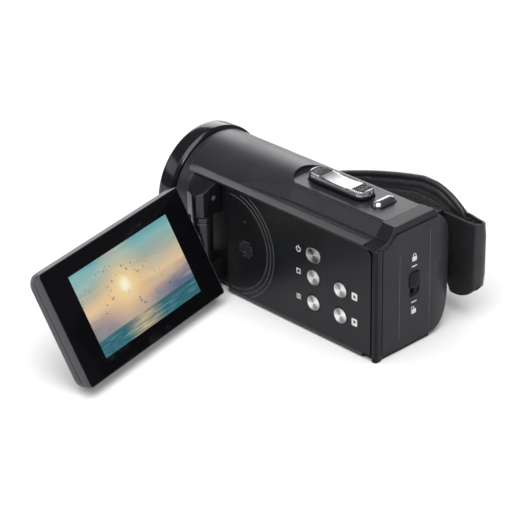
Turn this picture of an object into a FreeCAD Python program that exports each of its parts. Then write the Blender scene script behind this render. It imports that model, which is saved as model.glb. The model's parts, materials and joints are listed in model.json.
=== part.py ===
"""Compact camcorder with a swing-out screen, a battery door at the rear and a padded hand strap.

The frame's origin is the mouth of the tripod socket in the flat base.  +Z is up, -Y is the way the
lens looks, +X is the side that carries the screen.  Every length is in millimetres.
"""
import FreeCAD, Part
import math
import os

import Sketcher

SIZES = {
    # body envelope
    "barrel_radius": 26.4, "barrel_height": 32.6, "cavity_radius": 21.6, "body_front": -52.2,
    "body_rear": 52.35, "side_plane": 22.86, "side_thickness": 1.8, "deck_height": 57.1,
    "deck_half": 11.15, "deck_front": -4.5, "facet_start": 3.0, "facet_runout": 30.0,
    "facet_shift": 3.7, "round_end": -26.6, "seam_reach": 15.1, "seam_height": 51.7,
    "eave_height": 51.0, "eave_lip": 0.8, "split_height": 30.0, "base_front": -44.0, "wall": 2.0,
    "flank_reach": 25.24, "flank_height": 14.6, "flank_radius": 16.0, "flank_step": 0.12,
    "base_half": 9.3, "edge_strip": 2.2, "edge_bevel": 0.9, "fit_gap": 0.15, "close_gap": 0.1,
    # hinge bay
    "bay_front": -46.6, "bay_depth": 19.5, "eave_front": -51.6, "corner_reach": 20.2,
    "corner_end": -49.4, "liner_thickness": 1.4, "liner_half": 9.0,
    # front end
    "hood_radius": 27.7, "hood_front": -65.0, "hood_rear": -56.6, "hood_bore": 24.6,
    "hood_bevel": 1.2, "collar_front": -55.9, "collar_rear": -52.4, "collar_radius": 26.2,
    "groove_radius": 24.9, "trim_bore": 15.5, "trim_front": -58.6, "trim_slope": 0.6,
    "trim_land": 2.0, "glass_radius": 15.3, "glass_bulge": 1.65, "glass_depth": 3.0,
    "glass_gap": 0.05, "tube_radius": 17.5, "tube_bore": 15.4, "tube_rear": -14.0,
    "tube_floor": 6.0, "rear_lens_radius": 9.0, "rear_lens_fit": 8.95, "rear_lens_front": -19.5,
    "rear_lens_bulge": 1.5, "rear_lens_rear": -15.0, "sensor_face": -10.5, "sensor_width": 9.0,
    "sensor_depth": 1.5, "sensor_board_half": 13.0, "board_thickness": 1.2,
    # rear frame, door and lock
    "rim_rear": 59.4, "rim_height": 57.3, "rim_floor": 53.9, "rim_left": -14.3, "rim_notch": 5.0,
    "rim_relief": 40.0, "rim_step": 0.6, "rim_side": 0.3,
    "rim_rise": 0.4, "rim_fall": 0.5, "post_start": 18.8, "post_front": 57.0, "post_corner": 1.2,
    "rear_plane": 60.0, "lip_height": 1.6, "lip_depth": 59.4, "lip_reach": 20.86, "door_low": 1.9,
    "door_top": 53.6, "door_shoulder": 49.6, "door_drop": 0.5, "door_flat": 16.2,
    "door_edge": 18.3, "door_left": -14.6, "door_crown": 25.45, "door_flank": 24.44,
    "facet_reach": 10.2, "facet_drop": 0.6, "door_side": 54.4, "door_wall": 2.0,
    "door_circle": 25.6, "door_bow": 26.0, "door_pin_reach": 17.3, "door_pin_depth": 58.4,
    "door_pin_low": 0.6, "door_pin_high": 0.2, "door_pin_radius": 0.5, "running": 0.05, "seal_front": 56.3,
    "seal_depth": 1.0, "seal_outer": 2.4, "seal_inner": 4.0, "seal_end": 14.0, "slot_low": 22.6,
    "slot_high": 34.1, "slot_left": -2.6, "slot_right": 3.9, "slot_depth": 1.0,
    "slot_corner": 2.2, "slit_left": -0.6, "slit_right": 1.9, "slit_margin": 1.2,
    "knob_low": 26.4, "knob_side": 0.25, "knob_head": 0.3, "knob_corner": 2.0,
    "knob_proud": 0.5, "stem_front": 56.2, "stem_side": 0.2, "stem_head": 0.4,
    "tongue_front": 55.4, "tongue_foot": 1.0, "tongue_head": 6.0, "lock_travel": 3.2,
    # deck controls
    "rocker_front": 2.2, "rocker_length": 32.6, "rocker_half": 4.7, "rocker_base": 57.7,
    "rocker_top": 61.0, "rocker_end": 3.9, "rocker_gap": 0.6, "rocker_well": 55.9,
    "dish_radius": 75.0, "dish_depth": 1.0, "saddle_half": 1.4, "saddle_length": 3.0,
    "saddle_top": 59.3, "saddle_side": 0.4, "saddle_end": 0.7, "saddle_head": 0.2,
    "pivot_radius": 0.7, "pivot_height": 58.3, "pin_short": 0.4, "photo_left": -7.2,
    "photo_width": 12.0, "photo_front": 38.45, "photo_depth": 5.5, "photo_top": 59.3,
    "photo_base": 55.0, "photo_corner": 2.7, "photo_crown": 4.4, "photo_shoulder": 58.1,
    "deck_board_half": 9.0, "deck_board_low": 50.4, "deck_board_high": 51.4,
    "deck_board_front": 14.5, "deck_board_rear": 45.95, "photo_switch_top": 54.3,
    # side controls
    "button_radius": 3.52, "button_gap": 0.2, "button_proud": 0.25, "flange_extra": 0.7,
    "flange_back": 20.0, "flange_thickness": 0.9, "dome_radius": 2.0, "dome_top": 19.4,
    "switch_face": 17.6, "switch_front": 14.0, "switch_rear": 50.0, "switch_low": 8.0,
    "switch_high": 42.0, "column_one": 24.9, "column_two": 40.2, "row_low": 14.55,
    "row_mid": 26.3, "row_high": 36.5, "oval_width": 8.0, "oval_height": 6.5, "oval_flat": 0.3,
    # speaker patch
    "ring_y": -24.0, "ring_z": 26.0, "ring_step": 1.95, "ring_first": 22.3, "ring_width": 0.5,
    "ring_depth": 0.4, "speaker_y": -15.1, "speaker_z": 24.9, "speaker_hole": 0.45,
    "speaker_pitch": 1.6, "speaker_radius": 7.0, "speaker_depth": 3.4, "side_rear": 56.9,
    "side_corner": 3.5,
    # screen and its hinge
    "hinge_reach": 27.4, "hinge_front": -37.1, "tilt_height": 25.0, "swing_angle": 12.9,
    "tilt_angle": 28.0, "panel_gap": 6.3, "panel_length": 93.2, "panel_width": 49.8,
    "panel_thickness": 8.0, "panel_corner": 5.0, "panel_wall": 1.6, "glass_inset": 0.8,
    "glass_thickness": 0.7, "view_start": 19.1, "view_length": 66.5, "view_low": -18.6,
    "view_width": 36.6, "view_corner": 1.0, "display_margin": 1.8, "display_gap": 0.2,
    "display_thickness": 2.4, "screen_board_low": -16.0, "screen_board_high": 14.0,
    "screen_board_inset": 2.0, "screen_board_length": 48.0, "ear_radius": 5.0, "ear_low": 36.0,
    "ear_tip": 46.3, "ear_root": 50.0, "ear_roof": 23.4, "ear_reach": 5.1, "ear_shoulder": 4.2,
    "ear_front": 4.2, "ear_fold": 0.3, "ear_face": 2.1, "ear_rear": 4.5, "ear_cheek": 2.9,
    "ear_wing": 9.3, "foot_low": 4.0,
    "foot_high": 13.0, "block_radius": 4.6, "block_gap": 0.3, "pin_radius": 1.6,
    "pin_bite": 5.0, "shaft_radius": 1.7, "shaft_room": 0.4,
    "shaft_inner": 3.4, "shaft_reach": 14.4,
    "flange_radius": 3.3, "shaft_flange": 1.1, "flange_clear": 0.25, "bush_half": 5.0,
    "bush_back": 2.3, "bush_front": 2.2, "bush_end": 15.4,
    # insides
    "battery_width": 26.0, "battery_depth": 40.0, "battery_height": 20.0, "battery_front": 8.0,
    "battery_floor": 6.0, "battery_left": -13.0, "battery_gap": 0.3, "tray_wall": 1.5,
    "tray_floor": 1.8, "tray_roof": 2.0, "contact_first": 6.0, "contact_pitch": 8.0,
    "contact_width": 2.0, "contact_depth": 3.0, "contact_low": 5.0, "contact_high": 12.0,
    "contact_gap": 0.2, "main_left": -16.0, "main_right": 15.0, "main_front": -4.0,
    "main_height": 30.5, "card_left": -10.0, "card_width": 20.0, "card_front": 22.0,
    "card_rear": 48.0, "card_low": 33.0, "card_thickness": 2.0, "socket_side": 2.0,
    "socket_front": 18.0, "socket_rear": 44.0, "socket_low": 31.8, "socket_high": 36.0,
    "microphone_front": -50.0, "microphone_height": 13.0, "microphone_radius": 1.7,
    "microphone_depth": 5.0,
    # base hardware
    "socket_radius": 3.175, "bush_radius": 6.0, "bush_height": 7.0, "plate_half": 8.0,
    "plate_front": -14.0, "plate_length": 44.0, "plate_thickness": 0.8, "screw_radius": 1.6,
    "screw_inset": 4.0,
    # strap
    "bar_reach": 30.2, "bar_radius": 1.2, "lug_half": 3.0, "lug_edge": 2.4, "lug_inner": 12.0,
    "lug_corner": 2.0, "lug_thickness": 1.3, "front_bar": -39.0, "rear_bar": 44.0,
    "front_lug_low": 17.6, "front_lug_high": 40.4, "rear_lug_low": 12.3, "rear_lug_high": 45.7,
    "front_low": 19.0, "front_high": 39.0, "rear_low": 13.9, "rear_high": 44.1, "loop_gap": 0.3,
    "strap_thickness": 1.9, "strap_lap": 0.2, "fold_depth": 66.0, "fold_reach": 35.0,
    "fold_half": 3.4, "fold_start": 0.5, "fold_corner": 13.0,
    "fold_low": 8.0, "fold_step": 47.6, "fold_drop": 51.0, "pad_thickness": 5.4,
    "pad_inner": 1.0, "pad_front": -22.0, "pad_rear": 54.0, "pad_front_reach": 37.4,
    "pad_rear_reach": 39.6, "pad_bow": 240.0, "pad_front_low": 19.2, "pad_front_high": 38.8,
    "pad_widest": 28.0, "pad_bottom": 6.5, "pad_top": 51.5, "pad_rear_low": 14.7,
    "pad_rear_high": 43.3, "pad_front_bow": 400.0, "pad_rear_bow": 34.5,
}

# how far a cutting tool runs past the face it opens, and a distance well outside the object
OVERRUN = 1.0
BEYOND = 80.0
CONTACTS = 3
SPEAKER_REACH = 2
RING_COUNT = 3

DOC = FreeCAD.newDocument("camcorder")
NODES = []
PLANES = {"XY": "XY_Plane", "XZ": "XZ_Plane", "YZ": "YZ_Plane"}
AXIS_TURNS = {"X": FreeCAD.Rotation(FreeCAD.Vector(0, 1, 0), 90),
              "Y": FreeCAD.Rotation(FreeCAD.Vector(1, 0, 0), -90),
              "Z": FreeCAD.Rotation()}


class Measure:
    """A length held both as a number and as the sheet expression that gives it."""

    def __init__(self, value, text):
        self.value = value
        self.text = text

    def __add__(self, other):
        other = measure(other)
        return Measure(self.value + other.value, f"({self.text} + {other.text})")

    def __sub__(self, other):
        other = measure(other)
        return Measure(self.value - other.value, f"({self.text} - {other.text})")

    def __mul__(self, other):
        other = measure(other)
        return Measure(self.value * other.value, f"({self.text} * {other.text})")

    def __truediv__(self, other):
        other = measure(other)
        return Measure(self.value / other.value, f"({self.text} / {other.text})")

    def __neg__(self):
        return Measure(-self.value, f"(0 - {self.text})")

    def __radd__(self, other):
        return measure(other) + self

    def __rsub__(self, other):
        return measure(other) - self

    def __rmul__(self, other):
        return measure(other) * self


def measure(item):
    """Turn a plain number into a Measure and leave a Measure as it is."""
    if isinstance(item, Measure):
        return item
    return Measure(float(item), f"{float(item):.4f}")


class Sizes:
    """The sheet's cells as attributes, each one a Measure."""

    def __init__(self, cells):
        for alias, value in cells.items():
            setattr(self, alias, Measure(float(value), f"Size.{alias}"))


def make_sheet(cells):
    """Write the driving dimensions into a spreadsheet, one alias for each cell."""
    sheet = DOC.addObject("Spreadsheet::Sheet", "Size")
    for row, (alias, value) in enumerate(cells.items(), start=1):
        sheet.set(f"A{row}", alias)
        sheet.set(f"B{row}", str(value))
        sheet.setAlias(f"B{row}", alias)
    DOC.recompute()
    return Sizes(cells)


def bind(item, path, amount):
    """Bind one property of an object to the sheet."""
    item.setExpression(path, measure(amount).text)


def place(item, corner):
    """Bind an object's position to the sheet."""
    for axis, amount in zip("xyz", corner):
        bind(item, f"Placement.Base.{axis}", amount)


def box(low, high, name="block"):
    """A block between two opposite corners."""
    item = DOC.addObject("Part::Box", name)
    for side, start, end in zip(("Length", "Width", "Height"), low, high):
        bind(item, side, measure(end) - start)
    place(item, low)
    return item


def rod(axis, start, radius, length, name="rod"):
    """A cylinder that runs along one axis from the centre of its first end."""
    item = DOC.addObject("Part::Cylinder", name)
    bind(item, "Radius", radius)
    bind(item, "Height", length)
    item.Placement = FreeCAD.Placement(FreeCAD.Vector(), AXIS_TURNS[axis])
    place(item, start)
    return item


def fuse(items, name="join"):
    """One solid made of several that meet."""
    if len(items) == 1:
        return items[0]
    item = DOC.addObject("Part::MultiFuse", name)
    item.Shapes = items
    item.Refine = True
    return item


def cut(base, tools, name="cut"):
    """A base with one or more tools taken away."""
    item = DOC.addObject("Part::Cut", name)
    item.Base = base
    item.Tool = fuse(tools)
    item.Refine = True
    return item


def common(first, second, name="overlap"):
    """What two solids share."""
    item = DOC.addObject("Part::Common", name)
    item.Base = first
    item.Tool = second
    item.Refine = True
    return item


def group(items, name="group"):
    """Separate solids kept together in one node."""
    item = DOC.addObject("Part::Compound", name)
    item.Links = items
    return item


def arc_between(start, end, radius):
    """An arc from start to end, bulging to the right of the way it runs when radius is positive."""
    chord = end - start
    half = chord.Length / 2
    rise = math.sqrt(max(radius * radius - half * half, 0.0))
    side = FreeCAD.Vector(chord.y, -chord.x, 0)
    side.normalize()
    turn = 1.0 if radius > 0 else -1.0
    centre = (start + end) / 2 - side * rise * turn
    middle = centre + side * abs(radius) * turn
    return Part.Arc(start, middle, end)


def outline(body, plane, corners, radii):
    """A closed sketch through bound corners; a side with a radius is an arc, the rest are straight."""
    sketch = body.newObject("Sketcher::SketchObject", "profile")
    origin = body.Origin.OriginFeatures
    support = [feature for feature in origin if feature.Role == PLANES[plane]][0]
    sketch.AttachmentSupport = [(support, "")]
    sketch.MapMode = "FlatFace"
    points = [FreeCAD.Vector(measure(x).value, measure(y).value, 0) for x, y in corners]
    count = len(points)
    for index, start in enumerate(points):
        end = points[(index + 1) % count]
        radius = radii.get(index)
        if radius is None:
            sketch.addGeometry(Part.LineSegment(start, end), False)
        else:
            sketch.addGeometry(arc_between(start, end, measure(radius).value), False)
    ends = [side_ends(sketch, index, points) for index in range(count)]
    for index in range(count):
        following = (index + 1) % count
        sketch.addConstraint(
            Sketcher.Constraint("Coincident", index, ends[index][1], following, ends[following][0]))
    for index, (across, along) in enumerate(corners):
        pin_point(sketch, index, ends[index][0], "DistanceX", across)
        pin_point(sketch, index, ends[index][0], "DistanceY", along)
    for index, radius in radii.items():
        size = measure(radius)
        size = size if size.value > 0 else -size
        number = sketch.addConstraint(Sketcher.Constraint("Radius", index, size.value))
        sketch.setExpression(f"Constraints[{number}]", size.text)
    return sketch


def side_ends(sketch, index, points):
    """Which end numbers of a sketch side are its start and its end along the outline."""
    first = sketch.getPoint(index, 1)
    if (first - points[index]).Length < (first - points[(index + 1) % len(points)]).Length:
        return 1, 2
    return 2, 1


def pin_point(sketch, index, end, kind, amount):
    """Hold one sketch point at a bound distance from the sketch's origin."""
    size = measure(amount)
    number = sketch.addConstraint(Sketcher.Constraint(kind, -1, 1, index, end, size.value))
    sketch.setExpression(f"Constraints[{number}]", size.text)


def prism(plane, corners, start, length, radii=None, name="prism"):
    """An outline pushed out square to its plane, along +X, +Y or +Z, from start."""
    body = DOC.addObject("PartDesign::Body", name)
    sketch = outline(body, plane, corners, radii or {})
    pad = body.newObject("PartDesign::Pad", "pad")
    pad.Profile = sketch
    pad.Reversed = plane == "XZ"
    bind(pad, "Length", length)
    axis = {"XY": "z", "XZ": "y", "YZ": "x"}[plane]
    bind(body, f"Placement.Base.{axis}", start)
    return body


def rounded(plane, low, high, start, length, radius, name="plate"):
    """A rectangle with round corners, pushed out square to its plane."""
    left, bottom = measure(low[0]), measure(low[1])
    right, top = measure(high[0]), measure(high[1])
    corners = [(left + radius, bottom), (right - radius, bottom), (right, bottom + radius),
               (right, top - radius), (right - radius, top), (left + radius, top),
               (left, top - radius), (left, bottom + radius)]
    radii = {side: radius for side in (1, 3, 5, 7)}
    return prism(plane, corners, start, length, radii, name)


def turned(corners, height, radii=None, name="turned"):
    """A ring or disc about the lens axis, from an outline of (distance along Y, radius)."""
    body = DOC.addObject("PartDesign::Body", name)
    sketch = outline(body, "YZ", corners, radii or {})
    spin = body.newObject("PartDesign::Revolution", "spin")
    spin.Profile = sketch
    spin.ReferenceAxis = (sketch, ["H_Axis"])
    spin.Angle = 360
    bind(body, "Placement.Base.z", height)
    return body


def keep(item, label):
    """Name an object as a finished piece."""
    item.Label = label
    NODES.append(item)
    return item


def tilt_with_screen(item, label):
    """Move a piece drawn level at the hinge into the open, tilted screen's place, and keep it."""
    holder = DOC.addObject("Part::Compound", label)
    holder.Links = [item]
    place(holder, (S.hinge_reach, S.hinge_front, S.tilt_height))
    holder.setExpression("Placement.Rotation.Yaw", S.swing_angle.text)
    holder.setExpression("Placement.Rotation.Roll", S.tilt_angle.text)
    return keep(holder, label)


S = make_sheet(SIZES)


# ---------------------------------------------------------------- casing

def upper_envelope():
    """Everything the body's outer skin encloses above the split, lens end to rear seam."""
    barrel = rod("Y", (0, S.body_front, S.barrel_height), S.barrel_radius,
                 S.body_rear - S.body_front, "barrel_drum")
    eave_floor = S.eave_height - S.eave_lip
    shoulder = prism("XZ", [(0, S.seam_height), (0, eave_floor), (S.side_plane, eave_floor),
                            (S.side_plane, S.eave_height), (S.seam_reach, S.seam_height)],
                     S.eave_front, S.body_rear - S.eave_front, name="shoulder")
    outside = S.side_plane + OVERRUN
    before = S.eave_front - OVERRUN
    corner = prism("XY", [(S.corner_reach, before), (outside, before), (outside, S.corner_end),
                          (S.side_plane, S.corner_end), (S.corner_reach, S.eave_front)],
                   eave_floor - OVERRUN, BEYOND, name="corner_tool")
    return fuse([barrel, cut(shoulder, [corner])], "upper_envelope")


def facet_corners(shift):
    """Outline of what is planed off the drum beside the deck, moved outwards by shift."""
    rise = S.deck_height - S.seam_height
    slope = (S.seam_reach - S.deck_half) / rise
    far = S.barrel_radius + S.seam_reach
    top = S.deck_height + rise
    return [(S.deck_half - slope * rise + shift, top), (S.seam_reach + shift, S.seam_height),
            (far, S.seam_height), (far, top)]


def facet_tools():
    """The facet beside the deck on the screen side, and its long run-out towards the lens."""
    length = S.body_rear - S.facet_start + OVERRUN
    facet = prism("XZ", facet_corners(measure(0)), S.facet_start, length, name="facet_tool")
    body = DOC.addObject("PartDesign::Body", "facet_runout")
    near = outline(body, "XZ", facet_corners(measure(0)), {})
    far = outline(body, "XZ", facet_corners(S.facet_shift), {})
    bind(far, "AttachmentOffset.Base.z", S.facet_runout)
    loft = body.newObject("PartDesign::AdditiveLoft", "runout")
    loft.Profile = near
    loft.Sections = [far]
    loft.Ruled = True
    bind(body, "Placement.Base.y", S.facet_start)
    return [facet, body]


def deck_tool():
    """The flat deck let into the top of the barrel, with a round front end."""
    front = S.deck_front + S.deck_half
    rear = S.body_rear + OVERRUN
    return prism("XY", [(S.deck_half, front), (S.deck_half, rear), (-S.deck_half, rear),
                        (-S.deck_half, front), (0, front - S.deck_half)],
                 S.deck_height, BEYOND, {3: S.deck_half, 4: S.deck_half}, "deck_tool")


def cavity_tools():
    """The hollow inside the body."""
    drum = rod("Y", (0, S.body_front - OVERRUN, S.barrel_height), S.cavity_radius,
               S.body_rear - S.body_front + 2 * OVERRUN, "cavity_drum")
    inner = S.side_plane - S.side_thickness
    room = box((-S.base_half, S.base_front + S.wall, S.wall),
               (inner, S.body_rear + OVERRUN, S.eave_height - S.eave_lip - S.wall), "cavity_room")
    return [drum, room]


def bay_tool():
    """The bay on the screen side that the hinge stands in."""
    return box((S.bay_depth, S.bay_front, -OVERRUN),
               (BEYOND, S.round_end, S.eave_height - S.eave_lip), "bay_tool")


def side_recess(low):
    """Room for the screen-side panel to lie flush."""
    return box((S.side_plane - S.side_thickness, S.round_end, low),
               (BEYOND, S.body_rear + OVERRUN, S.eave_height - S.eave_lip), "side_recess")


def make_top_shell():
    everything_below = box((-BEYOND, -BEYOND, -BEYOND), (BEYOND, BEYOND, S.split_height))
    solid = cut(upper_envelope(), [everything_below, deck_tool()] + facet_tools(), "top_solid")
    well = rounded("XY", (-S.rocker_half - S.rocker_gap, S.rocker_front - S.rocker_gap),
                   (S.rocker_half + S.rocker_gap,
                    S.rocker_front + S.rocker_length + S.rocker_gap),
                   S.rocker_well, BEYOND, S.rocker_half, "rocker_well")
    photo_hole = rounded("XY", (S.photo_left - S.button_gap, S.photo_front - S.button_gap),
                         (S.photo_left + S.photo_width + S.button_gap,
                          S.photo_front + S.photo_depth + S.button_gap),
                         S.barrel_height, BEYOND, S.photo_depth / 2, "photo_hole")
    shell = cut(solid, cavity_tools() + [bay_tool(), side_recess(0), well, photo_hole])
    keep(shell, "top_shell")


def flank_outline():
    """The lower half's section: the round flank on the strap side and the flat screen side."""
    return [(-S.barrel_radius + S.flank_step, S.split_height), (-S.flank_reach, S.flank_height),
            (-S.base_half, 0), (S.side_plane - S.edge_bevel, 0), (S.side_plane, S.edge_bevel),
            (S.side_plane, S.split_height)]


def make_lower_shell():
    drum = rod("Y", (0, S.body_front, S.barrel_height), S.barrel_radius,
               S.body_rear - S.body_front, "drum_low")
    lower = prism("XZ", flank_outline(), S.base_front, S.body_rear - S.base_front,
                  {1: S.flank_radius}, "flank")
    above = box((-BEYOND, -BEYOND, S.split_height), (BEYOND, BEYOND, BEYOND))
    bush_room = rod("Z", (0, 0, -OVERRUN), S.bush_radius, S.wall + 2 * OVERRUN, "bush_room")
    plate_room = box((-S.plate_half, S.plate_front, -OVERRUN),
                     (S.plate_half, S.plate_front + S.plate_length, S.plate_thickness),
                     "plate_room")
    hollow = cavity_tools() + [strap_side_hollow(), bay_tool(), side_recess(S.edge_strip)]
    shell = cut(fuse([drum, lower]), [above, bush_room, plate_room] + hollow)
    keep(shell, "lower_shell")


def strap_side_hollow():
    """The hollow behind the round lower corner on the strap side."""
    return rod("Y", (-S.base_half, S.base_front + S.wall, S.flank_radius),
               S.flank_radius - S.wall, S.body_rear - S.base_front, "strap_side_hollow")


def make_bay_liner():
    """The dark wall at the back of the hinge bay."""
    back, face = S.bay_depth - S.liner_thickness, S.bay_depth
    gap = S.close_gap
    step = S.base_front + S.wall + gap
    tall = box((back, step, S.wall + gap),
               (face, S.round_end - gap, S.eave_height - S.eave_lip - S.wall - gap))
    short = box((back, S.bay_front + gap, S.barrel_height - S.liner_half),
                (face, step, S.barrel_height + S.liner_half))
    keep(fuse([tall, short]), "bay_liner")


def make_side_panel():
    inner = S.side_plane - S.side_thickness
    low = S.edge_strip + S.fit_gap
    high = S.eave_height - S.eave_lip - S.fit_gap
    corner = S.side_corner
    rear = S.side_rear
    plate = prism("YZ", [(S.round_end, low), (rear, low), (rear, high - corner),
                         (rear - corner, high), (S.round_end, high)],
                  inner, S.side_thickness, {2: corner}, "side_plate")
    tools = [round_hole(y, z) for y, z in round_buttons().values()]
    gap = S.button_gap
    left = S.column_one - S.oval_width / 2 - gap
    bottom = S.row_high - S.oval_height / 2 - gap
    tools.append(rounded("YZ", (left, bottom), (left + S.oval_width + 2 * gap,
                                                bottom + S.oval_height + 2 * gap),
                         inner - OVERRUN, BEYOND, S.oval_height / 2 + gap - S.oval_flat,
                         "oval_hole"))
    tools += [ring_groove(number) for number in range(RING_COUNT)]
    steps = range(-SPEAKER_REACH, SPEAKER_REACH + 1)
    tools += [speaker_hole(row, column) for row in steps for column in steps
              if abs(row) + abs(column) < 2 * SPEAKER_REACH]
    keep(cut(plate, tools), "side_panel")


def round_buttons():
    """Names and places of the four round buttons."""
    return {"mode_button": (S.column_one, S.row_mid), "menu_button": (S.column_one, S.row_low),
            "up_button": (S.column_two, S.row_mid), "down_button": (S.column_two, S.row_low)}


def round_hole(along, height):
    """A hole through the side panel for one round button."""
    return rod("X", (S.side_plane - S.side_thickness - OVERRUN, along, height),
               S.button_radius + S.button_gap, BEYOND, "button_hole")


def ring_groove(number):
    """One of the round grooves pressed in the side panel about the speaker."""
    radius = S.ring_first + S.ring_step * number
    start = S.side_plane - S.ring_depth
    outer = rod("X", (start, S.ring_y, S.ring_z), radius, OVERRUN)
    inner = rod("X", (start - OVERRUN, S.ring_y, S.ring_z), radius - S.ring_width, BEYOND)
    return cut(outer, [inner], "ring_groove")


def speaker_hole(row, column):
    """One hole of the speaker's grille."""
    return rod("X", (S.side_plane - S.side_thickness - OVERRUN,
                     S.speaker_y + S.speaker_pitch * column,
                     S.speaker_z + S.speaker_pitch * row), S.speaker_hole, BEYOND)


def make_base():
    """The metal plate and bush under the body, and the screws that close it."""
    bush = rod("Z", (0, 0, 0), S.bush_radius, S.bush_height)
    thread = rod("Z", (0, 0, -OVERRUN), S.socket_radius, BEYOND)
    keep(cut(bush, [thread]), "tripod_bush")
    plate = box((-S.plate_half, S.plate_front, 0),
                (S.plate_half, S.plate_front + S.plate_length, S.plate_thickness))
    around = rod("Z", (0, 0, -OVERRUN), S.bush_radius, BEYOND)
    places = [S.plate_front + S.screw_inset, S.plate_front + S.plate_length - S.screw_inset]
    holes = [rod("Z", (0, along, -OVERRUN), S.screw_radius, BEYOND) for along in places]
    keep(cut(plate, [around] + holes), "base_plate")
    screws = [rod("Z", (0, along, 0), S.screw_radius, S.plate_thickness) for along in places]
    keep(group(screws), "base_screws")


# ---------------------------------------------------------------- lens

def make_lens_end():
    front, rear, outer = S.hood_front, S.hood_rear, S.hood_radius
    bevel, gap = S.hood_bevel, S.close_gap
    hood = turned([(front, S.hood_bore), (front, outer - bevel / 2), (front + bevel / 2, outer),
                   (rear - bevel, outer), (rear, outer - bevel), (rear, S.groove_radius),
                   (S.trim_front, S.groove_radius), (S.trim_front, S.hood_bore)],
                  S.barrel_height, name="hood")
    keep(hood, "lens_hood")
    collar = turned([(rear, S.tube_radius + gap), (rear, S.groove_radius),
                     (S.collar_front, S.groove_radius), (S.collar_front, S.collar_radius),
                     (S.collar_rear, S.collar_radius), (S.collar_rear, S.tube_radius + gap)],
                    S.barrel_height, name="collar")
    keep(collar, "front_collar")
    trim = turned([(S.trim_front + S.trim_slope, S.trim_bore),
                   (S.trim_front, S.trim_bore + S.trim_land), (S.trim_front, S.hood_bore - gap),
                   (rear - gap, S.hood_bore - gap), (rear - gap, S.trim_bore)],
                  S.barrel_height, name="trim")
    keep(trim, "lens_trim_ring")
    crown = rear - S.glass_gap
    lens = turned([(crown, 0), (crown + S.glass_bulge, S.glass_radius),
                   (rear + S.glass_depth, S.glass_radius), (rear + S.glass_depth, 0)],
                  S.barrel_height, {0: -lens_radius(S.glass_radius, S.glass_bulge)},
                  name="front_glass")
    keep(lens, "front_lens")
    tube_front, floor = rear + S.glass_gap, S.tube_rear - S.tube_floor
    tube = turned([(tube_front, S.tube_bore), (tube_front, S.tube_radius),
                   (S.tube_rear, S.tube_radius), (S.tube_rear, S.rear_lens_radius),
                   (floor, S.rear_lens_radius), (floor, S.tube_bore)],
                  S.barrel_height, name="tube")
    keep(tube, "lens_tube")
    bulge, fit = S.rear_lens_bulge, S.rear_lens_fit
    rear_lens = turned([(S.rear_lens_front, 0), (S.rear_lens_front + bulge, fit),
                        (S.rear_lens_rear, fit), (S.rear_lens_rear, 0)],
                       S.barrel_height, {0: -lens_radius(fit, bulge)}, name="rear_glass")
    keep(rear_lens, "rear_lens")


def lens_radius(half, bulge):
    """Radius of a lens face from its half width and its bulge."""
    return (half * half + bulge * bulge) / (2 * bulge)


def make_electronics():
    """Sensor, boards, speaker, microphone, battery and card."""
    half, wide = S.sensor_width / 2, S.sensor_board_half
    middle = S.barrel_height
    board_front = S.sensor_face + S.sensor_depth
    keep(box((-half, S.sensor_face, middle - half), (half, board_front, middle + half)),
         "image_sensor")
    keep(box((-wide, board_front, middle - wide), (wide, board_front + S.board_thickness,
                                                   middle + wide)), "sensor_board")
    keep(box((S.main_left, S.main_front, S.main_height),
             (S.main_right, S.battery_front + S.battery_depth,
              S.main_height + S.board_thickness)), "main_board")
    keep(box((S.switch_face - S.board_thickness, S.switch_front, S.switch_low),
             (S.switch_face, S.switch_rear, S.switch_high)), "switch_board")
    domes = [rod("X", (S.switch_face, y, z), S.dome_radius, S.dome_top - S.switch_face)
             for y, z in list(round_buttons().values()) + [(S.column_one, S.row_high)]]
    keep(group(domes), "side_switches")
    speaker_back = S.side_plane - S.side_thickness - S.speaker_depth - S.close_gap
    keep(rod("X", (speaker_back, S.speaker_y, S.speaker_z), S.speaker_radius, S.speaker_depth),
         "speaker")
    keep(rod("Y", (0, S.microphone_front, S.microphone_height), S.microphone_radius,
             S.microphone_depth), "microphone")
    low = (S.battery_left, S.battery_front, S.battery_floor)
    high = (S.battery_left + S.battery_width, S.battery_front + S.battery_depth,
            S.battery_floor + S.battery_height)
    keep(box(low, high), "battery_pack")
    contacts = [contact_block(step, measure(0), S.battery_front - S.contact_depth,
                              S.battery_front - S.close_gap) for step in range(CONTACTS)]
    keep(group(contacts), "battery_contacts")
    card_right = S.card_left + S.card_width
    keep(box((S.card_left, S.card_front, S.card_low),
             (card_right, S.card_rear, S.card_low + S.card_thickness)), "memory_card")
    socket = box((S.card_left - S.socket_side, S.socket_front, S.socket_low),
                 (card_right + S.socket_side, S.socket_rear, S.socket_high))
    gap = S.close_gap
    slot = box((S.card_left - gap, S.card_front - gap, S.card_low - gap),
               (card_right + gap, BEYOND, S.card_low + S.card_thickness + gap))
    keep(cut(socket, [slot]), "card_socket")


def contact_block(step, grow, front, rear):
    """A block round one of the battery's contacts, a little larger when grow is given."""
    left = S.battery_left + S.contact_first + S.contact_pitch * step
    return box((left - grow, front, S.battery_floor + S.contact_low - grow),
               (left + S.contact_width + grow, rear, S.battery_floor + S.contact_high + grow),
               "contact")


def make_chassis():
    """The tray that the battery slides into."""
    left, right = S.battery_left, S.battery_left + S.battery_width
    top = S.battery_floor + S.battery_height
    gap, wall = S.battery_gap, S.tray_wall
    tray = box((left - wall, S.battery_front - wall, S.battery_floor - S.tray_floor),
               (right + wall, S.body_rear - S.close_gap, top + S.tray_roof), "tray")
    room = box((left - gap, S.battery_front - gap, S.battery_floor - gap),
               (right + gap, BEYOND, top + gap), "tray_room")
    slots = [contact_block(step, S.contact_gap, -BEYOND, S.battery_front + OVERRUN)
             for step in range(CONTACTS)]
    keep(cut(tray, [room] + slots), "battery_tray")


# ---------------------------------------------------------------- rear

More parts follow.
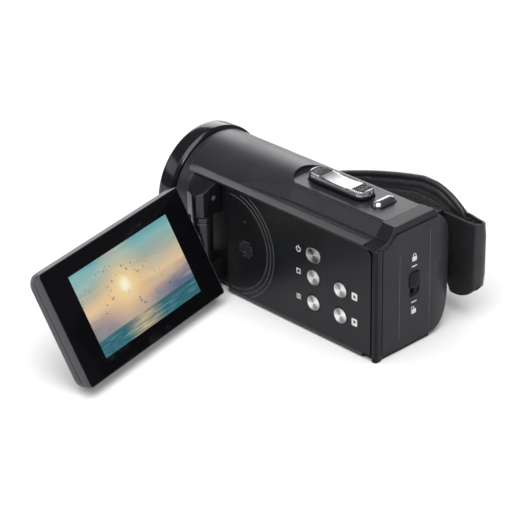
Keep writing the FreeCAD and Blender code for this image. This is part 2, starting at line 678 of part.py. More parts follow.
def make_rear_frame():
    start = S.body_rear + S.close_gap
    top = S.rim_height
    rim = prism("XZ", [(-S.deck_half, top), (S.deck_half + S.rim_step, top),
                       (S.seam_reach + S.rim_side, S.seam_height + S.rim_rise),
                       (S.side_plane, S.eave_height - S.rim_fall),
                       (S.side_plane, S.door_shoulder), (S.door_flat, S.door_shoulder),
                       (S.facet_reach, S.rim_floor), (S.rim_left, S.rim_floor)],
                start, S.rim_rear - start, {7: -S.barrel_radius}, "rim")
    notch = box((S.side_plane - S.rim_notch, start - OVERRUN, S.rim_relief),
                (BEYOND, S.side_rear + S.close_gap, S.eave_height - S.eave_lip - S.close_gap),
                "notch")
    post = rounded("XY", (S.post_start, S.post_front), (S.side_plane, S.rear_plane), measure(0),
                   S.door_shoulder + S.door_drop, S.post_corner, "post")
    floor = box((-S.base_half, start, 0), (S.lip_reach, S.lip_depth, S.lip_height), "floor_lip")
    pin = rod("Z", (S.door_pin_reach, S.door_pin_depth, S.door_pin_low), S.door_pin_radius,
              S.door_shoulder + S.door_pin_high, "pin")
    keep(cut(fuse([cut(rim, [notch]), post, floor]), [pin]), "rear_frame")
    keep(group([pin]), "door_hinge_pin")


def door_plan():
    """The door's curved plate seen from above."""
    rear, side = S.rear_plane, S.door_side
    front = S.door_wall + S.facet_drop
    left = -S.flank_reach - OVERRUN
    return prism("XY", [(S.door_edge, rear - front), (S.door_edge, rear - S.facet_drop),
                        (S.facet_reach, rear), (-S.base_half, rear), (left, side),
                        (left, side - S.door_wall), (-S.base_half, rear - front)],
                 0, BEYOND, {3: S.door_bow, 5: -S.door_bow}, "door_plan")


def door_outline(inset, start, length, name):
    """The door seen from behind, shrunk by inset, as a solid through the plate."""
    shoulder = S.door_shoulder - S.door_drop - inset
    return prism("XZ", [(S.door_edge - inset, S.door_low + inset), (S.door_edge - inset, shoulder),
                        (S.door_flat - inset, shoulder),
                        (S.facet_reach - inset / 2, S.door_top - inset),
                        (S.door_left + inset / 2, S.door_top - inset),
                        (inset - S.door_crown, S.split_height),
                        (inset - S.door_flank, S.flank_height),
                        (-S.base_half, S.door_low + inset)],
                 start, length, {4: S.door_circle, 6: S.flank_radius}, name)


def make_door():
    plate = common(door_plan(), door_outline(measure(0), measure(0), BEYOND, "door_outline"))
    recess = rounded("XZ", (S.slot_left, S.slot_low), (S.slot_right, S.slot_high),
                     S.rear_plane - S.slot_depth, BEYOND, S.slot_corner, "lock_recess")
    slit = box((S.slit_left, 0, S.knob_low - S.lock_travel),
               (S.slit_right, BEYOND, S.slot_high - S.slit_margin), "slit")
    bore = rod("Z", (S.door_pin_reach, S.door_pin_depth, 0), S.door_pin_radius + S.running,
               BEYOND, "bore")
    keep(cut(plate, [recess, slit, bore]), "battery_door")
    outer = door_outline(S.seal_outer, S.seal_front, S.seal_depth, "seal_outer")
    inner = door_outline(S.seal_inner, measure(0), BEYOND, "seal_inner")
    right = box((-S.base_half, 0, 0), (S.seal_end, BEYOND, BEYOND), "seal_side")
    keep(common(cut(outer, [inner]), right), "door_seal")
    depth = S.rear_plane - S.slot_depth + S.close_gap
    side = S.knob_side
    knob = rounded("XZ", (S.slot_left + side, S.knob_low),
                   (S.slot_right - side, S.slot_high - S.knob_head), depth,
                   S.slot_depth + S.knob_proud - S.close_gap, S.knob_corner, "knob")
    stem = box((S.slit_left + S.stem_side, S.stem_front, S.knob_low + S.stem_side),
               (S.slit_right - S.stem_side, depth + S.stem_side,
                S.slot_high - S.slit_margin - S.stem_head), "stem")
    tongue = box((S.slot_left, S.tongue_front, S.knob_low - S.tongue_foot),
                 (S.slot_right, S.stem_front, S.slot_high + S.tongue_head), "tongue")
    keep(fuse([knob, stem, tongue]), "lock_slider")


# ---------------------------------------------------------------- controls

def make_deck_controls():
    half = S.rocker_half
    front, rear = S.rocker_front, S.rocker_front + S.rocker_length
    middle = front + S.rocker_length / 2
    outside, across = -half - OVERRUN, 2 * half + 2 * OVERRUN
    bar = rounded("XY", (-half, front), (half, rear), S.rocker_base,
                  S.rocker_top - S.rocker_base, S.rocker_end, "rocker_bar")
    dish = rod("X", (outside, middle, S.rocker_top - S.dish_depth + S.dish_radius),
               S.dish_radius, across, "dish")
    saddle_half, saddle_reach = S.saddle_half, S.saddle_length / 2
    wide, long = saddle_half + S.saddle_side, saddle_reach + S.saddle_end
    saddle_room = box((-wide, middle - long, S.rocker_base - OVERRUN),
                      (wide, middle + long, S.saddle_top + S.saddle_head), "saddle_room")
    bore = rod("X", (outside, middle, S.pivot_height), S.pivot_radius + S.running, across, "bore")
    keep(cut(bar, [dish, saddle_room, bore]), "zoom_rocker")
    saddle = box((-saddle_half, middle - saddle_reach, S.rocker_well),
                 (saddle_half, middle + saddle_reach, S.saddle_top), "saddle")
    hole = rod("X", (outside, middle, S.pivot_height), S.pivot_radius, across, "hole")
    keep(cut(saddle, [hole]), "rocker_saddle")
    keep(rod("X", (S.pin_short - half, middle, S.pivot_height), S.pivot_radius,
             2 * half - 2 * S.pin_short), "rocker_pin")
    right, back = S.photo_left + S.photo_width, S.photo_front + S.photo_depth
    spot = (S.photo_front + back) / 2
    cap = rounded("XY", (S.photo_left, S.photo_front), (right, back), S.photo_base,
                  S.photo_top - S.photo_base, S.photo_corner, "photo_cap")
    crown = rod("X", (S.photo_left - OVERRUN, spot, S.photo_top - S.photo_crown), S.photo_crown,
                S.photo_width + 2 * OVERRUN, "crown")
    below = box((-BEYOND, 0, 0), (BEYOND, BEYOND, S.photo_shoulder), "below_shoulder")
    keep(common(cap, fuse([crown, below])), "photo_button")
    keep(box((-S.deck_board_half, S.deck_board_front, S.deck_board_low),
             (S.deck_board_half, S.deck_board_rear, S.deck_board_high)), "deck_switch_board")
    keep(rod("Z", (S.photo_left + S.photo_width / 2, spot, S.deck_board_high), S.dome_radius,
             S.photo_switch_top - S.deck_board_high), "photo_switch")


def make_side_controls():
    back = S.flange_back
    face = S.side_plane + S.button_proud
    extra = S.flange_extra
    for name, (along, height) in round_buttons().items():
        cap = rod("X", (back, along, height), S.button_radius, face - back)
        flange = rod("X", (back, along, height), S.button_radius + extra, S.flange_thickness)
        keep(fuse([cap, flange]), name)
    left = S.column_one - S.oval_width / 2
    bottom = S.row_high - S.oval_height / 2
    radius = S.oval_height / 2 - S.oval_flat
    cap = rounded("YZ", (left, bottom), (left + S.oval_width, bottom + S.oval_height), back,
                  face - back, radius, "power_cap")
    flange = rounded("YZ", (left - extra, bottom - extra),
                     (left + S.oval_width + extra, bottom + S.oval_height + extra), back,
                     S.flange_thickness, radius + extra - S.button_gap, "power_flange")
    keep(fuse([cap, flange]), "power_button")


# ---------------------------------------------------------------- screen and hinge

def tongue_plan(start, length, radius, name):
    """A tongue from the bay's wall to a round end about the swing axis."""
    front, rear = S.hinge_front - radius, S.hinge_front + radius
    return prism("XY", [(S.bay_depth, rear), (S.bay_depth, front), (S.hinge_reach, front),
                        (S.hinge_reach + radius, S.hinge_front), (S.hinge_reach, rear)],
                 start, length, {2: radius, 3: radius}, name)


def ear_plan():
    """The upper ear seen from above: a block that widens to the bay's front, with turned facets."""
    x, y = S.hinge_reach, S.hinge_front
    return prism("XY", [(S.bay_depth, y - S.ear_wing), (x - S.ear_cheek, y - S.ear_wing),
                        (x + S.ear_shoulder, y - S.ear_front), (x + S.ear_reach, y - S.ear_fold),
                        (x + S.ear_reach, y + S.ear_face), (x + S.ear_cheek, y + S.ear_rear),
                        (S.bay_depth, y + S.ear_rear)],
                 S.ear_low, S.ear_root - S.ear_low, name="ear_plan")


def make_hinge():
    x, y = S.hinge_reach, S.hinge_front
    tip = x + S.ear_reach
    slope = prism("XZ", [(S.bay_depth, S.ear_low), (tip, S.ear_low), (tip, S.ear_tip),
                         (S.ear_roof, S.ear_root), (S.bay_depth, S.ear_root)],
                  y - BEYOND / 2, BEYOND, name="ear_slope")
    ear = common(ear_plan(), slope)
    bite, gap = S.pin_bite, S.block_gap
    pin_length = bite * 2 + gap
    upper_start, lower_start = S.ear_low - gap - bite, S.foot_high - bite
    keep(cut(ear, [rod("Z", (x, y, upper_start), S.pin_radius, pin_length)]), "hinge_ear_upper")
    foot = tongue_plan(S.foot_low, S.foot_high - S.foot_low, S.ear_radius, "foot_plan")
    keep(cut(foot, [rod("Z", (x, y, lower_start), S.pin_radius, pin_length)]), "hinge_ear_lower")
    keep(rod("Z", (x, y, upper_start), S.pin_radius, pin_length), "hinge_pin_upper")
    keep(rod("Z", (x, y, lower_start), S.pin_radius, pin_length), "hinge_pin_lower")
    low, high = S.foot_high + gap, S.ear_low - gap
    block = rod("Z", (x, y, low), S.block_radius, high - low)
    bores = [rod("Z", (x, y, start), S.pin_radius + S.running, bite + gap + OVERRUN)
             for start in (low - OVERRUN, high - bite - gap)]
    keep(cut(block, bores + [swivel_bore()]), "hinge_swivel")
    shaft = rod("X", (-S.shaft_inner, 0, 0), S.shaft_radius, S.shaft_inner + S.shaft_reach)
    flange = rod("X", (S.panel_gap - S.flange_clear - S.shaft_flange, 0, 0), S.flange_radius,
                 S.shaft_flange)
    tilt_with_screen(fuse([shaft, flange]), "tilt_shaft")


def swivel_bore():
    """The swivel's hole for the tilt shaft, along the open screen's length."""
    item = DOC.addObject("Part::Cylinder", "tilt_bore")
    bind(item, "Radius", S.shaft_radius + S.running)
    bind(item, "Height", BEYOND)
    turn = FreeCAD.Rotation(FreeCAD.Vector(0, 0, 1), S.swing_angle.value)
    item.Placement = FreeCAD.Placement(FreeCAD.Vector(), turn.multiply(AXIS_TURNS["X"]))
    angle = math.radians(S.swing_angle.value)
    reach = S.shaft_inner + S.running
    place(item, (S.hinge_reach - reach * math.cos(angle), S.hinge_front - reach * math.sin(angle),
                 S.tilt_height))
    return item


def make_screen():
    start, end = S.panel_gap, S.panel_gap + S.panel_length
    half, deep = S.panel_width / 2, S.panel_thickness / 2
    wall, corner = S.panel_wall, S.panel_corner
    glass = S.glass_thickness
    shaft_hole = rod("X", (start - OVERRUN, 0, 0), S.shaft_radius + S.shaft_room,
                     wall + 2 * OVERRUN)
    skin = rounded("XZ", (start, -half), (end, half), -deep, deep, corner, "rear_skin")
    hollow = rounded("XZ", (start + wall, wall - half), (end - wall, half - wall),
                     wall - deep, 2 * deep, corner - wall, "rear_hollow")
    tilt_with_screen(cut(skin, [hollow, shaft_hole]), "screen_rear_shell")
    frame = rounded("XZ", (start, -half), (end, half), 0, deep, corner, "front_skin")
    room = rounded("XZ", (start + wall, wall - half), (end - wall, half - wall), -OVERRUN,
                   deep - glass, corner - wall, "front_hollow")
    inset = S.glass_inset
    glass_low, glass_high = (start + inset, inset - half), (end - inset, half - inset)
    pocket = rounded("XZ", glass_low, glass_high, deep - glass, glass + OVERRUN, corner - inset,
                     "glass_pocket")
    margin = S.display_margin
    view_low = (S.view_start - margin, S.view_low - margin)
    view_high = (S.view_start + S.view_length + margin, S.view_low + S.view_width + margin)
    window = rounded("XZ", view_low, view_high, 0, deep + OVERRUN, S.view_corner, "window")
    tilt_with_screen(cut(frame, [room, shaft_hole, pocket, window]), "screen_front_frame")
    tilt_with_screen(rounded("XZ", glass_low, glass_high, deep - glass, glass, corner - inset,
                             "glass_plate"), "screen_glass")
    back, gap = deep - glass - S.display_thickness, S.display_gap
    display = rounded("XZ", (view_low[0] + gap, view_low[1] + gap),
                      (view_high[0] - gap, view_high[1] - gap), back, S.display_thickness,
                      S.view_corner - gap, "display_block")
    tilt_with_screen(display, "screen_display")
    left = S.view_start + S.screen_board_inset
    board = box((left, back - gap - S.board_thickness, S.screen_board_low),
                (left + S.screen_board_length, back - gap, S.screen_board_high), "panel_board")
    tilt_with_screen(board, "screen_board")
    bush = box((start + wall + S.close_gap, -S.bush_back, -S.bush_half),
               (S.bush_end, S.bush_front, S.bush_half), "bush")
    bore = rod("X", (start, 0, 0), S.shaft_radius + S.running, BEYOND, "bore")
    tilt_with_screen(cut(bush, [bore]), "tilt_bush")


# ---------------------------------------------------------------- strap

def make_strap():
    """Both lugs with their bars, then the bands and the pad between them."""
    body_room = [rod("Y", (0, -BEYOND, S.barrel_height), S.barrel_radius, 2 * BEYOND),
                 prism("XZ", flank_outline(), -BEYOND, 2 * BEYOND, {1: S.flank_radius})]
    thick = S.lug_thickness
    for name, along, low, high in (
            ("strap_lug_front", S.front_bar, S.front_lug_low, S.front_lug_high),
            ("strap_lug_rear", S.rear_bar, S.rear_lug_low, S.rear_lug_high)):
        ears = [rounded("XY", (-S.bar_reach - S.lug_edge, along - S.lug_half),
                        (-S.lug_inner, along + S.lug_half), start, thick, S.lug_corner, "lug_ear")
                for start in (low, high - thick)]
        bar = rod("Z", (-S.bar_reach, along, low), S.bar_radius, high - low, "lug_bar")
        keep(cut(fuse(ears + [bar]), body_room), name)
    make_front_band()
    make_rear_band()
    make_pad()


def loop_ring(along, low, high):
    """The end of a band sewn round a lug's bar, and the hole that the bar fills."""
    inner = S.bar_radius + S.loop_gap
    ring = rod("Z", (-S.bar_reach, along, low), inner + S.strap_thickness, high - low, "loop")
    return ring, rod("Z", (-S.bar_reach, along, low - OVERRUN), inner, BEYOND, "loop_hole")


def make_front_band():
    """The short leader from the front lug to the pad."""
    thick, lap = S.strap_thickness, S.strap_lap
    low, high = S.front_low, S.front_high
    reach = S.bar_reach + S.bar_radius + S.loop_gap
    ring, hole = loop_ring(S.front_bar, low, high)
    lead = prism("XY", [(-reach - lap, S.front_bar), (-reach - thick + lap, S.front_bar),
                        (-S.pad_front_reach, S.pad_front),
                        (-S.pad_front_reach + thick, S.pad_front)],
                 low, high - low, name="front_lead")
    keep(cut(fuse([ring, lead]), [hole]), "strap_band_front")


def make_rear_band():
    """The band that runs back from the rear lug, folds over and returns to the pad."""
    thick, lap, half = S.strap_thickness, S.strap_lap, S.fold_half
    low, high = S.rear_low, S.rear_high
    bottom = S.fold_low
    reach = S.bar_reach + S.bar_radius + S.loop_gap
    ring, hole = loop_ring(S.rear_bar, low, high)
    inside, outside = S.fold_reach - half, S.fold_reach + half
    fold = S.fold_depth - half
    root = S.rear_bar - S.fold_start
    lead = prism("XY", [(-reach - lap, root), (-reach - thick + lap, root),
                        (-inside - thick, fold), (-outside + thick, fold),
                        (-S.pad_rear_reach + thick, S.pad_rear), (-S.pad_rear_reach, S.pad_rear),
                        (-outside, fold), (-S.fold_reach, S.fold_depth), (-inside, fold)],
                 bottom, high - bottom, {6: -half, 7: -half}, "rear_lead")
    corner, end = S.fold_corner, S.fold_depth
    side = prism("YZ", [(0, low), (S.fold_step, low), (S.fold_drop, bottom), (end - corner, bottom),
                        (end, bottom + corner), (end, high), (0, high)],
                 -BEYOND, BEYOND, {3: corner}, "side")
    keep(common(cut(fuse([ring, lead]), [hole]), side), "strap_band_rear")


def make_pad():
    """The padded part that lies over the back of the hand, leaf-shaped seen from the side."""
    thick, bow = S.pad_thickness, S.pad_bow
    front = (-S.pad_front_reach - S.pad_inner, S.pad_front + S.close_gap)
    rear = (-S.pad_rear_reach - S.pad_inner, S.pad_rear - S.close_gap)
    block = prism("XY", [(front[0] + thick, front[1]), (front[0], front[1]), (rear[0], rear[1]),
                         (rear[0] + thick, rear[1])],
                  0, BEYOND, {1: -bow, 3: bow}, "pad_block")
    leaf = prism("YZ", [(S.pad_front, S.pad_front_low), (S.pad_widest, S.pad_bottom),
                        (S.pad_rear, S.pad_rear_low), (S.pad_rear, S.pad_rear_high),
                        (S.pad_widest, S.pad_top), (S.pad_front, S.pad_front_high)],
                 -BEYOND, BEYOND,
                 {0: S.pad_front_bow, 1: S.pad_rear_bow, 3: S.pad_rear_bow, 4: S.pad_front_bow},
                 "pad_leaf")
    keep(common(block, leaf), "strap_pad")


# ---------------------------------------------------------------- build and write

def check_and_write():
    """Stop on any failed object or bad shape, then write one file for each piece."""
    DOC.recompute()
    failed = [item.Name for item in DOC.Objects
              if "Invalid" in item.State or "Error" in item.State]
    bad = [item.Label for item in NODES if item.Shape.isNull() or not item.Shape.isValid()]
    if failed or bad:
        raise RuntimeError(f"failed objects {failed}, bad shapes {bad}")
    os.makedirs("parts", exist_ok=True)
    for item in NODES:
        shape = item.Shape
        print(f"{item.Label:22s} solids {len(shape.Solids)} volume {shape.Volume:10.1f}")
        shape.exportStep(os.path.join("parts", f"{item.Label}.step"))


make_top_shell()
make_lower_shell()
make_bay_liner()
make_side_panel()
make_base()
make_lens_end()
make_electronics()
make_chassis()
make_rear_frame()
make_door()
make_deck_controls()
make_side_controls()
make_hinge()
make_screen()
make_strap()
check_and_write()
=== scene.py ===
"""Looks of the compact camcorder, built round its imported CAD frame.

Shapes are in millimetres until they become meshes. Materials, lights and the camera are in metres.
"""
import json
import math

import bmesh
import bpy
import numpy as np
from mathutils import Matrix, Vector
from mathutils.bvhtree import BVHTree


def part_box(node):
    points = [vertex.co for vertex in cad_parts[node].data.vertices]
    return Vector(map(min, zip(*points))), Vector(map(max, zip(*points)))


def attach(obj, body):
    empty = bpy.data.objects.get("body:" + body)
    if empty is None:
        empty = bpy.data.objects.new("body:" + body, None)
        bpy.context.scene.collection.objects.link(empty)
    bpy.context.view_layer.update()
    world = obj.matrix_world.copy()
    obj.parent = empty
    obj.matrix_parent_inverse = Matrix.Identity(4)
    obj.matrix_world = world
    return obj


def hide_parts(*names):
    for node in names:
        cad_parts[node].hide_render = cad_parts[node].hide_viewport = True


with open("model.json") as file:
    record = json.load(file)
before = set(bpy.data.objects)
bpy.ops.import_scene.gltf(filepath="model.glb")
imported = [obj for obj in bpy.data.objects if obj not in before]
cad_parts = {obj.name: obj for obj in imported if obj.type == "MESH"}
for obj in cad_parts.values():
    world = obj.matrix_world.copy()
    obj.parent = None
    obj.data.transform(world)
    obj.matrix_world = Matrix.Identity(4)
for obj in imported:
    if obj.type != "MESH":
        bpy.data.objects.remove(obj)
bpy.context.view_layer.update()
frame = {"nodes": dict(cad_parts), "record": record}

RECORD = frame["record"]
SLOTS = {part["node"]: part["material_slot"] for part in RECORD["subparts"]}
JOINTS = {joint["name"]: joint for joint in RECORD["behaviour"]["joints"]}
MM = 0.001
BODY = "camera_body"
FULL = 2 * math.pi


# ---------------------------------------------------------------- materials

class Paint:
    """A procedural material, built up node by node."""

    def __init__(self, name, coords="Object", **values):
        self.material = bpy.data.materials.new(name)
        self.material.use_nodes = True
        self.tree = self.material.node_tree
        self.shader = self.tree.nodes["Principled BSDF"]
        self.where = self.add("ShaderNodeTexCoord").outputs[coords]
        self.normal = None
        for key, value in values.items():
            self.shader.inputs[key.replace("_", " ")].default_value = value

    def add(self, kind, feeds=None, **settings):
        """A node with its settings, its inputs fed by numbers, colours or other nodes' outputs."""
        node = self.tree.nodes.new(kind)
        for key, value in settings.items():
            setattr(node, key, value)
        for key, item in (feeds or {}).items():
            socket = node.inputs[key]
            if isinstance(item, bpy.types.NodeSocket):
                self.tree.links.new(item, socket)
            elif socket.type == "RGBA":
                socket.default_value = (*item, 1)
            else:
                socket.default_value = item
        return node

    def noise(self, size, detail=3.0, where=None, warp=0.0):
        """Noise of a feature size in metres, as a value from 0 to 1."""
        return self.add("ShaderNodeTexNoise", {"Vector": where or self.where, "Scale": 1 / size,
                                               "Detail": detail, "Distortion": warp}).outputs["Fac"]

    def cells(self, size, where=None, feature="F1"):
        """Cells of a size in metres, as the distance to the nearest centre or edge."""
        return self.add("ShaderNodeTexVoronoi", {"Vector": where or self.where, "Scale": 1 / size},
                        feature=feature).outputs["Distance"]

    def wave(self, size, direction, kind="BANDS"):
        """Parallel bands, or rings about an axis, of a spacing in metres."""
        turned_to = {kind.lower() + "_direction": direction}
        return self.add("ShaderNodeTexWave", {"Vector": self.where, "Scale": math.pi / (10 * size)},
                        wave_type=kind, **turned_to).outputs["Fac"]

    def maths(self, kind, *items):
        return self.add("ShaderNodeMath", dict(enumerate(items)), operation=kind).outputs[0]

    def times(self, first, second):
        return self.maths("MULTIPLY", first, second)

    def between(self, source, low, high, start=0.0, end=1.0):
        """Map a value from start..end to low..high, clamped."""
        return self.add("ShaderNodeMapRange", {"Value": source, "From Min": start, "From Max": end,
                                               "To Min": low, "To Max": high}).outputs["Result"]

    def spread(self, source, low=0.0, high=1.0):
        """Stretch the range that most of a noise falls in over low..high."""
        return self.between(source, low, high, 0.3, 0.7)

    def ramp(self, source, stops):
        """A colour ramp through (place, colour) stops."""
        node = self.add("ShaderNodeValToRGB", {"Fac": source})
        elements = node.color_ramp.elements
        while len(elements) < len(stops):
            elements.new(0.5)
        for element, (place, colour) in zip(elements, stops):
            element.position = place
            element.color = (*colour, 1)
        return node.outputs["Color"]

    def mix(self, factor, first, second):
        """Two colours mixed by a value or a socket."""
        return self.add("ShaderNodeMix", {0: factor, 6: first, 7: second}, data_type="RGBA").outputs[2]

    def give(self, name, source):
        """Join an output to one of the shader's inputs."""
        self.tree.links.new(source, self.shader.inputs[name])

    def colour(self, source):
        self.give("Base Color", source)

    def rough(self, source):
        self.give("Roughness", source)

    def bump(self, source, height):
        """Raise the surface by a height in metres where the source is 1."""
        feeds = {"Distance": height, "Height": source}
        if self.normal is not None:
            feeds["Normal"] = self.normal
        self.normal = self.add("ShaderNodeBump", feeds).outputs["Normal"]
        self.give("Normal", self.normal)
        return self

    def soft_edges(self, radius):
        """Round the look of hard edges, and give back a mask that is 1 on them."""
        self.normal = self.add("ShaderNodeBevel", {"Radius": radius}, samples=4).outputs["Normal"]
        self.give("Normal", self.normal)
        flat = self.add("ShaderNodeNewGeometry").outputs["True Normal"]
        dot = self.add("ShaderNodeVectorMath", {0: self.normal, 1: flat}, operation="DOT_PRODUCT")
        return self.between(dot.outputs["Value"], 1.0, 0.0, 0.72, 0.99)


def moulded(name, dark, light, rough, height=0.000012, wear=0.05, **values):
    """Moulded plastic with a fine spark-eroded grain, a faintly blue sheen, and paler edges that are partly
    rubbed wear and partly a painted highlight along bevels.
    """
    paint = Paint(name, Specular_Tint=(0.88, 0.88, 1.0, 1.0), **values)
    worn = paint.soft_edges(0.0003)
    fine = paint.noise(0.0003, 4)
    # The edge mask and the paler edge colour are partly rubbed wear, partly a painted highlight on bevelled
    # edges.
    scuffs_and_edge_highlight = paint.times(worn, paint.between(paint.noise(0.002, 5), 0.3, 1, 0.35, 0.65))
    rubbed_and_edge_highlight = tuple(value + wear for value in light)
    paint.colour(paint.mix(scuffs_and_edge_highlight, paint.mix(paint.spread(fine), dark, light), rubbed_and_edge_highlight))
    paint.rough(paint.maths("ADD", paint.spread(paint.noise(0.014), *rough),
                            paint.spread(fine, -0.03, 0.03)))
    return paint.bump(fine, height).material


def metal(name, colour, rough, stretch=(1, 1, 1), height=0.000003):
    """Bare or plated metal with fine working marks."""
    paint = Paint(name, Metallic=1.0)
    paint.soft_edges(0.00015)
    mapping = paint.add("ShaderNodeMapping", {"Scale": stretch, "Vector": paint.where})
    marks = paint.noise(0.00012, 3, mapping.outputs["Vector"])
    darker = tuple(value * 0.82 for value in colour)
    paint.colour(paint.mix(paint.between(paint.noise(0.004), 0, 1, 0.35, 0.65), darker, colour))
    paint.rough(paint.spread(marks, *rough))
    return paint.bump(marks, height).material


def spun(name):
    """Aluminium faced on a lathe: fine rings that catch the light, with painted highlight cones and streaks
    about the key's middle added to its colour.
    """
    paint = Paint(name, Metallic=1.0, Anisotropic=0.86)
    paint.give("Tangent", paint.add("ShaderNodeTangent", direction_type="RADIAL", axis="X").outputs[0])
    rings = paint.wave(0.00016, "X", "RINGS")
    square = paint.add("ShaderNodeTexCoord").outputs["Generated"]
    split = paint.add("ShaderNodeSeparateXYZ", {0: square})
    along, up = (paint.maths("SUBTRACT", split.outputs[axis], 0.5) for axis in (1, 2))
    angle = paint.maths("ARCTAN2", up, along)
    # Painted highlight: the colour is made lighter and darker in cones turning about the key's middle, with
    # streaks along them, as spun metal's highlight.
    painted_cones = paint.maths("COSINE", paint.maths("SUBTRACT", paint.times(angle, 2.0), 1.15))
    turned_to = paint.add("ShaderNodeCombineXYZ", {0: angle})
    painted_streaks = paint.spread(paint.noise(0.3, 3, turned_to.outputs[0]), -0.5, 0.5)
    # light here holds the painted highlight's strength, from the painted cones and streaks.
    light = paint.between(paint.maths("ADD", painted_cones, painted_streaks), 0, 1, -0.9, 1.0)
    paint.colour(paint.mix(light, (0.2, 0.2, 0.21), (0.9, 0.9, 0.89)))
    paint.rough(paint.between(rings, 0.2, 0.32))
    return paint.bump(rings, 0.000002).material


def leather(name):
    """Grained leatherette: shallow creased cells with a dull sheen."""
    paint = Paint(name, "UV", Sheen_Weight=0.1, Sheen_Roughness=0.4, Specular_IOR_Level=0.5)
    warp = paint.noise(0.006)
    grain = paint.between(paint.cells(0.0009, feature="DISTANCE_TO_EDGE"), 0, 1, 0.0, 0.16)
    paint.colour(paint.mix(grain, (0.007, 0.007, 0.0085), (0.014, 0.014, 0.0165)))
    paint.rough(paint.maths("ADD", paint.between(grain, 0.52, 0.36), paint.spread(warp, -0.05, 0.05)))
    paint.bump(grain, 0.00003)
    paint.bump(paint.noise(0.00035, 4), 0.000012)
    return paint.bump(warp, 0.00022).material


def netting(name):
    """Knitted spacer mesh: rows of small holes over a soft backing."""
    paint = Paint(name, "UV", Sheen_Weight=0.25, Sheen_Roughness=0.4)
    holes = paint.times(paint.wave(0.0011, "X"), paint.wave(0.0011, "Y"))
    raised = paint.between(holes, 1, 0, 0.25, 0.6)
    thread = paint.noise(0.0002)
    paint.colour(paint.mix(raised, (0.003, 0.003, 0.004), (0.028, 0.027, 0.03)))
    paint.rough(paint.between(thread, 0.75, 0.95))
    return paint.bump(raised, 0.00035).bump(thread, 0.00008).material


def stitching(name):
    """Twisted sewing thread."""
    paint = Paint(name, Sheen_Weight=0.3)
    twist = paint.wave(0.0004, "DIAGONAL")
    paint.colour(paint.mix(twist, (0.01, 0.01, 0.012), (0.034, 0.034, 0.038)))
    paint.rough(paint.between(twist, 0.5, 0.75))
    return paint.bump(twist, 0.00005).material


def ink(name, colour, worn):
    """Printed marks with a slightly uneven coat."""
    paint = Paint(name, Specular_IOR_Level=0.4)
    patchy = paint.noise(0.0006, 4)
    paint.colour(paint.mix(paint.between(patchy, 0, 1, 0.35, 0.7), worn, colour))
    paint.rough(paint.between(patchy, 0.45, 0.6))
    return paint.bump(patchy, 0.000004).material


def optic(name):
    """Coated lens glass, with a faint violet and green bloom."""
    paint = Paint(name, IOR=1.52, Transmission_Weight=0.85, Coat_Weight=1.0, Coat_Roughness=0.02,
                  Coat_Tint=(0.62, 0.72, 1.0, 1))
    bloom = paint.between(paint.noise(0.02, 1), 0, 1, 0.35, 0.65)
    paint.colour(paint.mix(bloom, (0.45, 0.5, 0.62), (0.5, 0.62, 0.55)))
    paint.rough(paint.between(paint.noise(0.003, 2), 0.015, 0.03))
    return paint.material


def circuit(name):
    """A lacquered board with tinned tracks."""
    paint = Paint(name, Coat_Weight=0.4, Coat_Roughness=0.2)
    line = paint.between(paint.cells(0.0032, feature="DISTANCE_TO_EDGE"), 1, 0, 0.02, 0.06)
    fibre = paint.times(paint.wave(0.0006, "DIAGONAL"), 0.4)
    board = paint.mix(fibre, (0.012, 0.085, 0.04), (0.02, 0.13, 0.06))
    paint.colour(paint.mix(line, board, (0.32, 0.36, 0.2)))
    paint.rough(paint.between(line, 0.42, 0.25))
    return paint.bump(line, 0.00003).material


